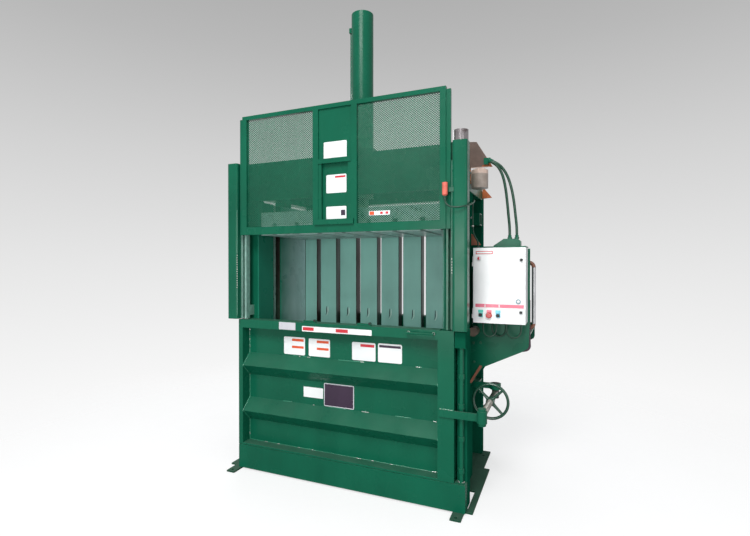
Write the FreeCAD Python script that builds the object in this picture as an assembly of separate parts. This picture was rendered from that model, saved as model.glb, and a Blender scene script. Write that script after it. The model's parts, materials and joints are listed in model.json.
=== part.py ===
"""Vertical stock baler with a lift-up feed gate, a swing-out chamber door and a side power unit.

Millimetres.  X runs to the right, Y to the back, Z up.  The origin is on the floor, midway
between the four anchor holes and straight below the hydraulic cylinder.
"""
import FreeCAD, Part
import math
import os

V = FreeCAD.Vector
os.makedirs("parts", exist_ok=True)

# ---------------------------------------------------------------- driving dimensions
chamber_width = 1524.0      # between the side walls
chamber_depth = 711.0       # between the door and the back wall
door_top_z = 1195.0         # top of the chamber door, the sill of the feed opening
gate_bottom_z = 1863.0      # underside of the raised gate
gate_height = 927.0
gate_sill_gap = 13.0        # between the lowered gate and the door
platen_rest_z = 1868.0      # underside of the raised platen
platen_travel = 1200.0
column_top_z = 2440.0
header_bottom_z = 2140.0

plate_t = 12.0              # base plates that lie on the floor
floor_t = 12.0              # strips of the chamber floor
wall_t = 10.0               # chamber walls and door skin
post_width = 100.0          # width of every post and side beam, across the machine
post_wall = 8.0             # wall of the hollow sections
column_depth = 80.0
side_post_y = 30.0          # front face of the middle posts
rear_post_depth = 90.0
rear_post_top_z = 2340.0
rear_post_bevel = 85.0      # height of the bevel on a rear post
bevel_inset = 15.0          # flat left on top of a rear post
sill_top_z = 195.0
joist_inset = 60.0          # outer joists, from the front and back of the chamber
top_beam_z = 2180.0
top_beam_height = 150.0
crosshead_rise = 10.0       # cross beams above the front columns
header_depth = 40.0
header_wall = 6.0

tie_slots = 7               # slots for bale ties in back wall, floor and platen
tie_pitch = 205.0
tie_slot = 38.0
panel_depth = 85.5
panel_wall = 6.0
panel_corner = 9.0
rear_beam = 100.0
rear_beam_heights = (560.0, 1080.0, 1960.0)

door_depth = 100.0          # from the front plane to the back of the door skin
door_gap = 3.0              # running gap round the closed door
door_overlap = 8.0          # left edge of the door beyond the posts
door_inset = 9.0            # right edge of the door inside the face of the posts
door_left_stile = 38.0
door_right_stile = 110.0
door_rail_height = 65.0
door_bottom_bar = 12.0
door_wall = 6.0             # wall of the door sections
rib_leg = 127.0             # angle iron ribs, point outwards
rib_wall = 8.0
rib_drops = (366.0, 728.0)  # rib points below the top of the door

hinge_offset = 15.0         # hinge axis beyond the door edge and behind the door
hinge_r = 15.0
hinge_pin_r = 8.0
hinge_end = 95.0            # end hinges, from the top of the door
hinge_foot = 105.0          # and from the top of the sill
hinge_leaf = 60.0
hinge_sides = 16            # flats round a knuckle
hinge_side_gap = 1.0        # between the knuckles
hinge_leaf_front = 40.0     # door leaf, from the front and back of the door
hinge_leaf_back = 20.0
hinge_frame_leaf = 40.0     # frame leaf, behind the face of the columns
fit = 0.05                  # radial running fit of pins, rods and bearings
seat_gap = 0.3              # between pieces that rest against each other

guide_tube = 97.0           # side of the square tubes that hold the gate counterweights
guide_tube_wall = 6.0
guide_tube_corner = 18.0
guide_tube_top_z = 2430.0
guide_tube_overlap = 13.5   # inner face of the tubes inside the face of the posts
guide_tube_back = 11.0      # gap from the tubes back to the front header
guide_tube_foot = 6.0       # gap from the door top to the closed foot of a tube
sleeve_height = 70.0        # bare sleeve on top of the right tube
sleeve_inset = 1.0          # sleeve inside the faces of the tube
counterweight_clear = 3.0
counterweight_chamfer = 8.0
counterweight_headroom = 87.7
track_width = 50.0
track_depth = 45.0
track_wall = 5.0
track_slot = 20.0
track_set_back = 50.0       # behind the front of the guide tubes
run_clear = 0.5             # sliding clearance of shoes in tracks
gate_shoe_height = 70.0
gate_shoe_inset = 20.0      # from the ends of the gate and of its tracks
bracket_size = 80.0
bracket_foot = 24.0         # lower bracket above the foot of a tube
bracket_drop = 390.0        # upper bracket below the top of a tube

gate_depth = 32.0
gate_back_gap = 6.5         # from the gate to the tracks
gate_side_gap = 13.5        # from the gate flanges to the tubes
gate_stile = 40.0
gate_flange = 30.0
gate_flange_drop = 18.0     # flanges end below the top of the gate
gate_wall = 4.0
gate_top_rail = 30.0
gate_bottom_rail = 60.0
gate_bar_inner = 133.0      # centre bars, from the centre line
gate_bar = 45.0
mesh_t = 3.0
mesh_columns = 4
mesh_rows = 8
mesh_margin = 14.0
mesh_web = 12.0
ledge_height = 440.0        # ledge of the centre panel above the bottom rail
ledge_t = 34.0
panel_side = 26.0
lip_overhang = 24.0

platen_gap_side = 17.0
platen_gap_front = 10.5
platen_height = 182.0
platen_deck = 25.0
platen_rib_height = 60.0
platen_rib = 16.0
pad_wall = 8.0
guide_centre_y = -100.0     # platen guide bars, seen in the side walls
guide_slot = 110.0
guide_bar = 30.0
guide_channel_depth = 54.0
guide_channel_wall = 8.0
shoe_clear = 2.0
shoe_height = 150.0
shoe_foot = 10.0            # shoes above the underside of the platen

bore_r = 80.0
barrel_wall = 9.0
rod_r = 50.0
gland_height = 60.0
gland_bottom_z = 2170.0
stroke_spare = 78.0         # bore left below the piston at the end of its stroke
piston_height = 60.0
piston_top_gap = 20.0
cap_height = 40.0
cap_plug = 30.0             # how far the cap reaches into the bore
rod_flange_r = 100.0
rod_flange_t = 24.0
crosshead_beam = 100.0
crosshead_height = 150.0
crosshead_plate = 25.0
cheek_t = 30.0              # plates either side of the cylinder, between the cross beams
cylinder_flange_r = 150.0
cylinder_flange_t = 25.0
flange_bolt_count = 8
flange_bolt_r = 15.0
flange_bolt_inset = 22.0
rod_bolt_count = 6
rod_bolt_r = 11.0
oil_pipe_r = 8.0
port_size = 40.0            # oil port on the barrel
port_drop = 70.0            # its centre below the cap
port_reach = 22.0           # how far it stands out

base_side = 108.0           # front part of a base plate beyond the posts
base_rear_side = 63.0
base_under = 60.0           # base plates under the chamber
sill_width = 60.0           # side sills, inside the outer faces of the walls
base_front = 30.0           # front edge behind the front plane of the door
base_step = 269.5           # step in the outer edge, in front of the rear posts
base_rear = 77.5            # rear edge, behind the front face of the rear posts
lug_reach = 90.0            # forward anchor lugs, in front of the door
lug_in = 17.0               # edges of a lug, either side of the face of the posts
lug_out = 55.0
anchor_edge = 28.5          # anchor holes from the front of the lugs
anchor_hole_r = 11.0
cutout_front = 45.0         # cut-out behind the front edge of a base plate
cutout_length = 255.0
cutout_margin = 40.0
cutout_inner = 6.0

hook_places = (-291.0, 157.0)    # left ends of the tie hooks on top of the door
hook_length = 106.0
hook_bar = 16.0
hook_r = 10.0
hook_back = 18.0            # behind the front plane of the door
handle_left = 543.0
handle_length = 192.0
handle_leg = 9.0            # legs, from the ends of the grip
handle_r = 7.0
handle_sides = 12
handle_proud = 34.0
handle_drop = 24.0

latch_post_width = 65.0
latch_post_depth = 100.0
latch_post_gap = 60.5       # from the door front plane back to the post
latch_post_wall = 6.0
latch_head_step = 4.0       # head block behind the front plane of the door
latch_head_drop = 6.0       # and below its top
rod_out = 33.0              # keeper rod beyond the face of the posts
rod_radius = 14.0
rod_back = 30.0             # rod axis behind the door front plane
rod_foot_top = 200.0
rod_head = 110.0
knuckle_heights = (262.0, 470.0, 685.0, 881.0)
knuckle_height = 30.0
knuckle_r = 20.0
knuckle_sides = 8
rod_foot_inset = 10.0       # foot of the keeper rod, inside the end of the base beam
knuckle_tab = 16.0

screw_out = 178.0           # latch screw beyond the face of the posts
screw_z = 675.0
screw_r = 14.0
nut_bore_clear = 4.5        # round the screw tip, so that the door can swing off it
nut_bore_end = 4.0          # end of the blind bore, in front of the nut axis
screw_tip_gap = 2.0
nut_r = 31.5                # also how far the boss axis stands in front of the door
nut_foot = 62.0             # ends of the boss, below and above the screw
nut_head = 47.0
nut_step = 16.0             # stepped ends of the boss
nut_neck = 0.8              # their size, as part of the boss
nut_sides = 20
arm_reach = 98.0            # arm on the right stile, from the edge of the door
arm_height = 48.0
arm_drop = 46.0             # lower edge of the arm below the screw
arm_t = 16.0
wheel_back = 306.0          # handwheel behind the front plane of the door
wheel_r = 130.0
wheel_rim_r = 10.0
wheel_hub_r = 28.0
wheel_hub_length = 60.0
wheel_spokes = 4
spoke_r = 8.0
spoke_sides = 6
rim_sides = 36              # flats round the rim
bearing_back = 62.0         # bearing behind the front face of the middle post
bearing_r = 26.0
bearing_foot = 40.0         # ends of the bearing block, below and above the screw
bearing_head = 70.0
collar_r = 22.0
collar_t = 12.0
collar_gap = 2.0
eye_r = 40.0
eye_sides = 20
bracket_bar = 43.0
bracket_top_gap = 2.0
bracket_t = 12.0

box_out = 58.0              # control box beyond the face of the posts
box_width = 353.0
box_depth = 198.5
box_bottom_z = 1221.0
box_top_z = 1748.0
box_wall = 2.0
box_door_t = 18.0
box_hinge_r = 5.0
box_hinge_pin_r = 2.5
box_hinge_back = 4.0        # hinge axis behind the edge of the open box
box_hinge_leaf = 30.0
box_hinge_foot = 60.0       # top of the lower door knuckle above the box bottom
box_hinge_drop = 100.0      # and of the upper one below the box top
gear_rim = 20.0             # mounting plate inside the box walls
gear_spacer = 5.0
gear_plate = 3.0
control_devices = (         # place from the plate's lower left corner, width, height, depth
    (30.0, 347.0, 60.0, 80.0, 80.0),      # main contactor
    (110.0, 357.0, 45.0, 65.0, 70.0),     # overload relay
    (203.0, 327.0, 90.0, 90.0, 75.0),     # transformer
    (40.0, 200.0, 140.0, 100.0, 60.0),    # controller
    (30.0, 70.0, 253.0, 40.0, 35.0),      # terminal rail
)
button_places = (53.0, 111.0, 172.0)    # from the left edge of the box
button_rise = 57.0          # above the bottom of the box
button_travel = 5.0
button_stem_r = 8.0
cap_r = 12.0
cap_proud = 8.0
cap_edge = 1.5
mushroom_r = 21.0
mushroom_proud = 12.0
mushroom_edge = 4.0
cap_sides = 16              # flats round caps and knobs
stem_tail = 6.0             # stem behind the door panel
button_gap = 1.0            # cap to plate and stem to contact when pressed
legend_side = 30.0          # square plates round the buttons and under the lamp
legend_t = 4.0
legend_clear = 0.4
contact_side = 28.0
contact_depth = 40.0
lens_r = 11.0
lens_height = 9.0
key_in = 30.0               # key switch and door latch, from the right edge of the box
key_rise = 83.0
box_latch_in = 27.0
box_latch_drop = 86.0
knob_r = 10.0
knob_stem_r = 6.0
knob_plate_t = 3.0
knob_grip = 6.0             # width of the bar across a knob, and how far it stands out
knob_spindle = 14.0
cam_reach = 20.0            # cam behind the box door, and its width, place and thickness
cam_width = 10.0
cam_back = 10.0
cam_t = 3.0
lamp_in = 43.0
lamp_drop = 74.0

tray_set_back = 10.0        # front plate of the tray, behind the face of the middle posts
tray_plate = 8.0
tray_side = 15.0            # tray beyond the control box
tray_rear = 27.0            # rear plate, behind the front face of the rear posts
tray_rim = 25.0
tray_shoulder = 30.0        # front plate beside the tank, above the shelf
tray_top_drop = 3.0         # top of the front plate below the top of the box
tray_foot = 405.0           # lower edge of the plates below the shelf, at the posts
tray_knee_out = 85.0        # knee of that edge, beyond the posts and below the shelf
tray_knee = 260.0
tray_corner = 28.0          # its bevelled outer corner
tray_corner_drop = 108.0
tray_edge = 8.0
tray_edge_drop = 96.0
tray_side_drop = 76.0
shelf_z = 1120.0
shelf_t = 10.0
tank_out = 53.0             # tank beyond the face of the posts
tank_width = 337.0
tank_depth = 195.0
tank_top_z = 1765.0
tank_lid_t = 8.0
tank_wall = 4.0
tank_corner = 4.0
tank_lid_rim = 8.0
filler_in = 200.0           # filler from the left side of the tank
filler_back = 38.0          # and from its back
filler_neck = 0.65          # neck radius, as part of the cap's
filler_r = 28.0
filler_height = 22.0
filler_sides = 12
motor_r = 105.0
motor_length = 220.0
motor_foot = 12.0
motor_in = 160.0            # motor axis from the left side of the tank
motor_fins = 16
motor_fin = 8.0             # depth of the fins
motor_bell = 28.0
motor_cowl = 50.0
motor_sides = 24
foot_inset = 15.0           # feet inside the body, and their ends from the bell and cowl
foot_front = 30.0
foot_rear = 60.0
foot_rise = 22.0            # top of the feet above the bottom of the body
motor_box = 80.0            # terminal box, its inner edge and its height
motor_box_in = 40.0
motor_box_height = 60.0
motor_box_out = 20.0        # how far it stands beyond the body
pump_r = 45.0               # half the side of the square pump body
pump_body = 44.0
bell_r = 66.0
pump_length = 62.0
bell_length = 8.0
pipe_r = 14.0
pipe_sides = 8
pipe_out = 56.0             # return pipe beyond the tank
pipe_back = 70.0            # and behind the front of the tray
pipe_bend = 36.0
pipe_low = 45.0             # lower run above the shelf, upper run below the top of the box
pipe_drop = 102.0
manifold_back = 50.0        # hose block behind the front of the tray
manifold_depth = 75.0
manifold_height = 57.0
manifold_left = 110.0       # from the sides of the tank
manifold_right = 34.0
manifold_slope = 73.0       # length of the slope on its left, and height of its toe
manifold_toe = 8.0
manifold_bevel = 22.0       # bevel at its right, and the height where it starts
manifold_side = 38.0
hose_nut = 12.0
hose_nut_r = 17.0
carrier_front = 45.0        # blocks that carry the upper fittings, either side of the gusset
carrier_back = 36.0
carrier_gap = 16.0
carrier_width = 31.0
carrier_drop = 20.0         # ends of the blocks below and above the hose
carrier_rise = 26.0
can_r = 62.0
can_height = 146.0
can_shoulder = 12.0
can_sides = 24
can_rise = 20.0             # canister above the foot of the side beam
can_gap = 4.0
can_back = 25.0             # its axis behind the face of the middle posts
saddle_width = 20.0         # saddle between canister and beam
saddle_front = 5.0
saddle_depth = 40.0
saddle_rise = 40.0
saddle_height = 70.0
junction_r = 33.0           # round junction can on the front of the tray
junction_length = 95.0
junction_rise = 18.0        # its axis above the shelf
junction_sides = 24
gusset_t = 10.0
gusset_back = 20.0
gusset_top_z = 2553.0       # upper gusset, which carries the hose fittings
gusset_low_z = 2356.0
gusset_out = 160.0
gusset_neck = 43.0
gusset_foot = 30.0
rear_gusset_z = 2195.0
rear_gusset_height = 105.0
rear_gusset_out = 80.0
hose_r = 10.0
hose_fitting = 28.0
hose_fitting_r = 13.0
hose_a_route = (
    (1022, 25, 2388), (1050, 27, 2372), (1083, 33, 2338), (1109, 48, 2276), (1124, 72, 2190),
    (1133, 96, 2090), (1140, 118, 1985), (1146, 139, 1905), (1146, 139, 1850),
)
hose_b_route = (
    (1030, 78, 2400), (1060, 79, 2384), (1098, 82, 2350), (1136, 87, 2285), (1162, 96, 2200),
    (1179, 110, 2100), (1189, 125, 1990), (1197, 139, 1907), (1197, 139, 1850),
)
cable_r = 5.5
interlock_route = (
    (819, -530, 2064), (819, -530, 2040), (832, -533, 2014), (866, -538, 1996), (908, -537, 1994),
    (948, -520, 2002), (969, -470, 2016), (972, -395, 2034), (964, -305, 2054), (947, -210, 2074),
    (925, -115, 2090), (904, -35, 2096), (891, 20, 2078), (887, 44, 2020), (886.5, 50, 1950),
    (890, 36, 1890), (905, 10, 1845), (928, -11, 1815), (940, -19, 1790), (940, -19, 1760),
)
conduit_r = 6.0
conduit_routes = (
    ((985, -70, 1208), (985, -70, 1177), (987, -69, 1142), (1009, -63, 1115), (1044, -52, 1112),
     (1070, -43, 1138), (1075, -40, 1174), (1075, -40, 1208)),
    ((1040, -12, 1208), (1040, -12, 1176), (1043, -11, 1139), (1068, -4, 1110), (1105, 4, 1109),
     (1131, 1, 1137), (1136, 0, 1174), (1136, 0, 1208)),
    ((1148, -72, 1208), (1148, -72, 1178), (1152, -70, 1141), (1177, -63, 1113), (1214, -55, 1112),
     (1241, -49, 1139), (1246, -47, 1175), (1246, -47, 1208)),
)
gland_r = 12.0
switch_in = 39.5            # switch axis inside and in front of the right guide tube
switch_front = 26.5
switch_z = 2064.0           # where its cable comes out
switch_r = 18.0
switch_nose = 8.0
switch_gap = 7.0            # length of the stem between the switch and its cable
switch_height = 86.0
clip_places = (38.0, 60.0)  # front and back of the cable clip
clip_z = 1975.0
clip_height = 15.0
clip_reach = 9.1
switch_arm = 6.0
switch_arm_side = 14.0      # arm from the switch axis, and onto the tube
switch_arm_reach = 12.0
switch_pad = 12.0
switch_pad_in = 6.0
switch_pad_edge = 2.0       # pad inside the edges of the arm
switch_arm_rise = 28.0
switch_arm_height = 30.0
gland_sides = 8
cable_sides = 6
hose_sides = 8

# ---------------------------------------------------------------- places worked out from them
half = chamber_width / 2
wall_x = half + wall_t                       # outer face of a side wall
post_x = wall_x + post_width                 # outer face of the posts
floor_z = sill_top_z + floor_t               # top of the chamber floor
front_y = -chamber_depth / 2                 # chamber front, the face of the columns
back_y = chamber_depth / 2
beam_y = back_y + panel_depth                # front face of the rear beams
rear_post_y = beam_y + rear_beam             # front face of the rear posts
door_back_y = front_y - door_gap
door_y = door_back_y - door_depth            # front plane of door and base beam
door_left = -(post_x + door_overlap)
door_right = post_x - door_inset
rib_point = rib_leg / math.sqrt(2)           # height of a rib's corner above its toes
hinge_x = door_left - hinge_offset
hinge_y = door_back_y + hinge_offset
hinge_low = sill_top_z + hinge_foot
hinge_high = door_top_z - hinge_end
hinge_heights = (hinge_low, (hinge_low + hinge_high) / 2, hinge_high)
tie_xs = [tie_pitch * (i - (tie_slots - 1) / 2) for i in range(tie_slots)]

guide_tube_inner = post_x - guide_tube_overlap
guide_tube_outer = guide_tube_inner + guide_tube
guide_tube_y = front_y - header_depth - guide_tube_back - guide_tube
guide_tube_z = door_top_z + guide_tube_foot
gate_travel = gate_bottom_z - door_top_z - gate_sill_gap
counterweight_z = guide_tube_z + guide_tube_wall + seat_gap
counterweight_height = guide_tube_top_z - counterweight_headroom - gate_travel - counterweight_z
track_y = guide_tube_y + track_set_back
gate_side = guide_tube_inner - gate_side_gap
gate_back_y = track_y - gate_back_gap
gate_y = gate_back_y - gate_depth
gate_top_z = gate_bottom_z + gate_height

platen_x = half - platen_gap_side
platen_y = front_y + platen_gap_front
platen_top_z = platen_rest_z + platen_height
deck_z = platen_top_z - platen_rib_height - platen_deck
channel_x = wall_x + guide_channel_depth     # outer face of a platen guide channel
guide_bar_x = channel_x - guide_channel_wall - guide_bar
crosshead_top_z = column_top_z + crosshead_rise
crosshead_z = crosshead_top_z - crosshead_height
cylinder_plate_z = crosshead_top_z + crosshead_plate
cylinder_r = bore_r + barrel_wall
barrel_z = gland_bottom_z + gland_height
piston_z = barrel_z + stroke_spare + platen_travel
cap_z = piston_z + piston_height + piston_top_gap + cap_plug

anchor_x = post_x + (lug_out - lug_in) / 2
anchor_y = lug_reach - anchor_edge - door_y
latch_post_outer = post_x + latch_post_width
latch_post_y = door_y + latch_post_gap
rod_x = post_x + rod_out
rod_y_place = door_y + rod_back
rod_top_z = door_top_z - rod_head
screw_x = post_x + screw_out
nut_y = door_y - nut_r
wheel_y = door_y + wheel_back
bearing_y = side_post_y + bearing_back

box_left = post_x + box_out
box_right = box_left + box_width
tray_y = side_post_y + tray_set_back         # front face of the power unit tray
tray_outer = box_right + tray_side
tray_rear_y = rear_post_y + tray_rear
box_front_y = tray_y - box_depth
box_open_y = box_front_y + box_door_t        # edge of the box behind its door
box_hinge_x = box_left - box_hinge_r
box_hinge_y = box_open_y + box_hinge_back
box_hinge_tops = (box_bottom_z + box_hinge_foot, box_top_z - box_hinge_drop)
button_z = box_bottom_z + button_rise
key_x = box_right - key_in
key_z = box_bottom_z + key_rise
box_latch_x = box_right - box_latch_in
box_latch_z = box_top_z - box_latch_drop
tank_left = post_x + tank_out
tank_right = tank_left + tank_width
tank_y = tray_y + tray_plate
motor_x = tank_left + motor_in
motor_z = shelf_z + shelf_t + motor_r + motor_foot
gusset_y = side_post_y + gusset_back


# ---------------------------------------------------------------- small shape helpers
def block(x0, x1, y0, y1, z0, z1):
    """Solid box between two corners."""
    return Part.makeBox(x1 - x0, y1 - y0, z1 - z0, V(x0, y0, z0))


def rod(x, y, z, r, length, axis=(0, 0, 1)):
    """Round bar that starts at a point and runs along an axis."""
    return Part.makeCylinder(r, length, V(x, y, z), V(*axis))


def rod_y(x, y, z, r, length):
    """Round bar towards the back."""
    return rod(x, y, z, r, length, (0, 1, 0))


def bored(shape, x, y, z, r, length, axis=(0, 0, 1)):
    """The shape with a round hole from a point along an axis."""
    return shape.cut(rod(x, y, z, r, length, axis))


def hollow_x(x0, x1, y0, y1, z0, z1, t=post_wall):
    """Rectangular hollow section along X."""
    return block(x0, x1, y0, y1, z0, z1).cut(block(x0, x1, y0 + t, y1 - t, z0 + t, z1 - t))


def hollow_y(x0, x1, y0, y1, z0, z1, t=post_wall):
    """Rectangular hollow section along Y."""
    return block(x0, x1, y0, y1, z0, z1).cut(block(x0 + t, x1 - t, y0, y1, z0 + t, z1 - t))


def hollow_z(x0, x1, y0, y1, z0, z1, t=post_wall):
    """Rectangular hollow section along Z."""
    return block(x0, x1, y0, y1, z0, z1).cut(block(x0 + t, x1 - t, y0 + t, y1 - t, z0, z1))


def prism(points, direction):
    """Straight extrusion of a flat outline."""
    wire = Part.makePolygon([V(*p) for p in points] + [V(*points[0])])
    return Part.Face(wire).extrude(V(*direction))


def plate_xz(outline, y, t):
    """Plate that faces the front, from an outline of (x, z) points."""
    return prism([(x, y, z) for x, z in outline], (0, t, 0))


def plate_xy(outline, z, t):
    """Level plate, from an outline of (x, y) points."""
    return prism([(x, y, z) for x, y in outline], (0, 0, t))


def joined(first, *others):
    """Pieces made as one, without the seams between them."""
    return first.fuse(list(others)).removeSplitter()


def mirrored(shape):
    """The same piece on the other side of the centre line."""
    return shape.mirror(V(0, 0, 0), V(1, 0, 0))


def both_sides(shapes):
    """Pieces of the right side with their mirror images."""
    return shapes + [mirrored(s) for s in shapes]


def uprights(shape):
    """Edges that run along Z."""
    return [e for e in shape.Edges if abs(e.Vertexes[0].Z - e.Vertexes[-1].Z) > 1]


def turned(profile, x, y, z, axis=(0, 0, 1)):
    """Solid of revolution from (radius, height) points, its axis through a point."""
    wire = Part.makePolygon([V(r, 0, h) for r, h in profile] + [V(profile[0][0], 0, profile[0][1])])
    body = Part.Face(wire).revolve(V(0, 0, 0), V(0, 0, 1), 360)
    body.Placement = FreeCAD.Placement(V(x, y, z), FreeCAD.Rotation(V(0, 0, 1), V(*axis)))
    return body


def ring_of(count, r, start=0.0):
    """Points evenly spaced on a circle, the first at an angle in degrees."""
    angles = [math.radians(start + 360 * i / count) for i in range(count)]
    return [(r * math.cos(a), r * math.sin(a)) for a in angles]


def faceted(x, y, z, r, length, sides=6, axis=(0, 0, 1)):
    """Bar of polygonal section that starts at a point and runs along an axis."""
    corners = [V(dx, dy, 0) for dx, dy in ring_of(sides, r)]
    bar = Part.Face(Part.makePolygon(corners + [corners[0]])).extrude(V(0, 0, length))
    bar.Placement = FreeCAD.Placement(V(x, y, z), FreeCAD.Rotation(V(0, 0, 1), V(*axis)))
    return bar


def route_wire(points):
    """Straight runs joined by tangent arcs, each arc as large as its two runs allow."""
    pts = [V(*p) for p in points]
    edges = []
    start = pts[0]
    radii = []
    for before, at, after in zip(pts, pts[1:], pts[2:]):
        d_in = (at - before).normalize()
        d_out = (after - at).normalize()
        turn = d_in.getAngle(d_out)
        run = 0.45 * min((at - before).Length, (after - at).Length)
        radii.append(run / math.tan(turn / 2))
        a = at - d_in * run
        b = at + d_out * run
        inward = (d_out - d_in).normalize()
        middle = at + inward * (radii[-1] / math.cos(turn / 2) - radii[-1])
        edges.append(Part.LineSegment(start, a).toShape())
        edges.append(Part.Arc(a, middle, b).toShape())
        start = b
    edges.append(Part.LineSegment(start, pts[-1]).toShape())
    return Part.Wire(edges), radii


def tube_along(points, r, sides, name):
    """Faceted tube along a route; prints its length, arc radii and volume check."""
    path, radii = route_wire(points)
    start = V(*points[0])
    turn = FreeCAD.Rotation(V(0, 0, 1), V(*points[1]) - start)
    corners = [start + turn.multVec(V(x, y, 0)) for x, y in ring_of(sides, r)]
    ring = Part.makePolygon(corners + [corners[0]])
    solid = path.makePipeShell([ring], True, False)
    ratio = solid.Volume / (Part.Face(ring).Area * path.Length)
    print(name, "length", round(path.Length), "radii", [round(x) for x in radii])
    print(name, "volume over section times length", round(ratio, 3))
    return solid


# ---------------------------------------------------------------- base
def base_plate():
    """Floor plate under one side, with a forward anchor lug, a cut-out and two anchor holes."""
    inner = wall_x - base_under
    outer = post_x + base_side
    rear_outer = post_x + base_rear_side
    front = door_y + base_front
    lug_front = door_y - lug_reach
    step = rear_post_y - base_step
    rear = rear_post_y + base_rear
    outline = [
        (inner, front),
        (post_x - lug_in, front),
        (post_x - lug_in, lug_front),
        (post_x + lug_out, lug_front),
        (post_x + lug_out, front),
        (outer, front),
        (outer, step),
        (rear_outer, step),
        (rear_outer, rear),
        (inner, rear),
    ]
    plate = plate_xy(outline, 0, plate_t)
    cut_y = front + cutout_front
    cut_x = post_x + cutout_inner
    plate = plate.cut(block(cut_x, outer - cutout_margin, cut_y, cut_y + cutout_length, 0, plate_t))
    for y in (-anchor_y, anchor_y):
        plate = bored(plate, anchor_x, y, 0, anchor_hole_r, plate_t)
    return plate


def base_front_beam():
    """Front channel, open to the rear, its web flush with the door and its end under the keeper rod."""
    outer = block(door_left, door_right, door_y, front_y, plate_t, sill_top_z)
    t = post_wall
    channel = outer.cut(block(door_left, door_right, door_y + t, front_y, plate_t + t, sill_top_z - t))
    return joined(channel, block(door_right, latch_post_outer, door_y, latch_post_y, plate_t, sill_top_z))


def base_frame():
    """Side sills, rear beam and joists that carry the chamber floor."""
    inner = wall_x - sill_width
    sill = hollow_y(inner, wall_x, front_y, beam_y, plate_t, sill_top_z)
    pieces = both_sides([sill])
    joist_z = sill_top_z - rear_beam
    for y in (front_y + joist_inset, -rear_beam / 2, back_y - joist_inset - rear_beam):
        pieces.append(hollow_x(-inner, inner, y, y + rear_beam, joist_z, sill_top_z))
    pieces.append(hollow_x(-wall_x, wall_x, beam_y, rear_post_y, plate_t, sill_top_z))
    return pieces


def strip_edges(outer):
    """Left and right edges of the strips between the tie slots."""
    starts = [-outer] + [x + tie_slot / 2 for x in tie_xs]
    ends = [x - tie_slot / 2 for x in tie_xs] + [outer]
    return list(zip(starts, ends))


def floor_strips():
    """Chamber floor: flat strips with tie slots between them."""
    return [block(a, b, front_y, back_y, sill_top_z, floor_z) for a, b in strip_edges(wall_x)]


# ---------------------------------------------------------------- chamber
def side_walls():
    """Wall plates in front of and behind each platen guide."""
    slot0 = guide_centre_y - guide_slot / 2
    slot1 = guide_centre_y + guide_slot / 2
    front = block(half, wall_x, front_y, slot0, floor_z, header_bottom_z)
    rear = block(half, wall_x, slot1, back_y, floor_z, header_bottom_z)
    return both_sides([front, rear])


def platen_guide_channels():
    """Channels that close the slots in the side walls from outside."""
    t = guide_channel_wall
    y0 = guide_centre_y - guide_slot / 2
    y1 = guide_centre_y + guide_slot / 2
    outer = block(wall_x, channel_x, y0 - t, y1 + t, floor_z, header_bottom_z)
    return both_sides([outer.cut(block(wall_x, channel_x - t, y0, y1, floor_z, header_bottom_z))])


def platen_guide_bars():
    """Bright bars on which the platen shoes run."""
    y0 = guide_centre_y - guide_bar / 2
    bar = block(guide_bar_x, guide_bar_x + guide_bar, y0, y0 + guide_bar, floor_z, header_bottom_z)
    return both_sides([bar])


def back_panel(x0, x1):
    """Pressed channel of the back wall, open to the rear, with rounded front edges."""
    t = panel_wall
    outer = block(x0, x1, back_y, back_y + panel_depth, floor_z, header_bottom_z)
    inner = block(x0 + t, x1 - t, back_y + t, back_y + panel_depth, floor_z, header_bottom_z)
    edges = [e for e in uprights(outer) if e.Vertexes[0].Y < back_y + t]
    return outer.makeFillet(panel_corner, edges).cut(inner)


def back_wall_panels():
    """Panels with tie slots between them."""
    return [back_panel(a, b) for a, b in strip_edges(half)]


def back_wall_beams():
    """Level beams behind the panels, from post to post."""
    beams = []
    for z in rear_beam_heights:
        beams.append(hollow_x(-post_x, post_x, beam_y, rear_post_y, z, z + rear_beam))
    beams.append(hollow_x(-wall_x, wall_x, beam_y, rear_post_y, top_beam_z, top_beam_z + rear_beam))
    return beams


# ---------------------------------------------------------------- upper frame
def front_columns():
    """Front columns from the base plates to the crosshead."""
    column = hollow_z(wall_x, post_x, front_y, front_y + column_depth, plate_t, column_top_z)
    return both_sides([column])


def side_posts():
    """Middle and rear posts; the rear ones have a bevelled top."""
    middle = hollow_z(wall_x, post_x, side_post_y, side_post_y + rear_beam, plate_t, top_beam_z)
    rear = hollow_z(wall_x, post_x, rear_post_y, rear_post_y + rear_post_depth, plate_t, rear_post_top_z)
    bevel = [
        (post_x, rear_post_top_z - rear_post_bevel),
        (post_x, rear_post_top_z),
        (wall_x + bevel_inset, rear_post_top_z),
    ]
    return both_sides([middle, rear.cut(plate_xz(bevel, rear_post_y, rear_post_depth))])


def crosshead():
    """Side beams, cross beams, cheeks and the plate that carries the cylinder."""
    beam_top_z = top_beam_z + top_beam_height
    side = hollow_y(wall_x, post_x, front_y + column_depth, rear_post_y, top_beam_z, beam_top_z)
    pieces = both_sides([side])
    for y in (front_y, back_y - crosshead_beam):
        pieces.append(hollow_x(-wall_x, wall_x, y, y + crosshead_beam, crosshead_z, crosshead_top_z))
    inner_y = front_y + crosshead_beam
    cheek_x = cylinder_flange_r + crosshead_rise
    cheek = block(cheek_x, cheek_x + cheek_t, inner_y, -inner_y, crosshead_z, crosshead_top_z)
    pieces += both_sides([cheek])
    edge = cheek_x + cheek_t + post_width / 2
    plate = block(-edge, edge, front_y, back_y, crosshead_top_z, cylinder_plate_z)
    pieces.append(bored(plate, 0, 0, crosshead_top_z, cylinder_r + seat_gap, crosshead_plate))
    return pieces


def front_header():
    """Deep hollow plate across the front, above the platen."""
    y = front_y - header_depth
    return hollow_x(-post_x, post_x, y, front_y, header_bottom_z, column_top_z, header_wall)


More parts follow.
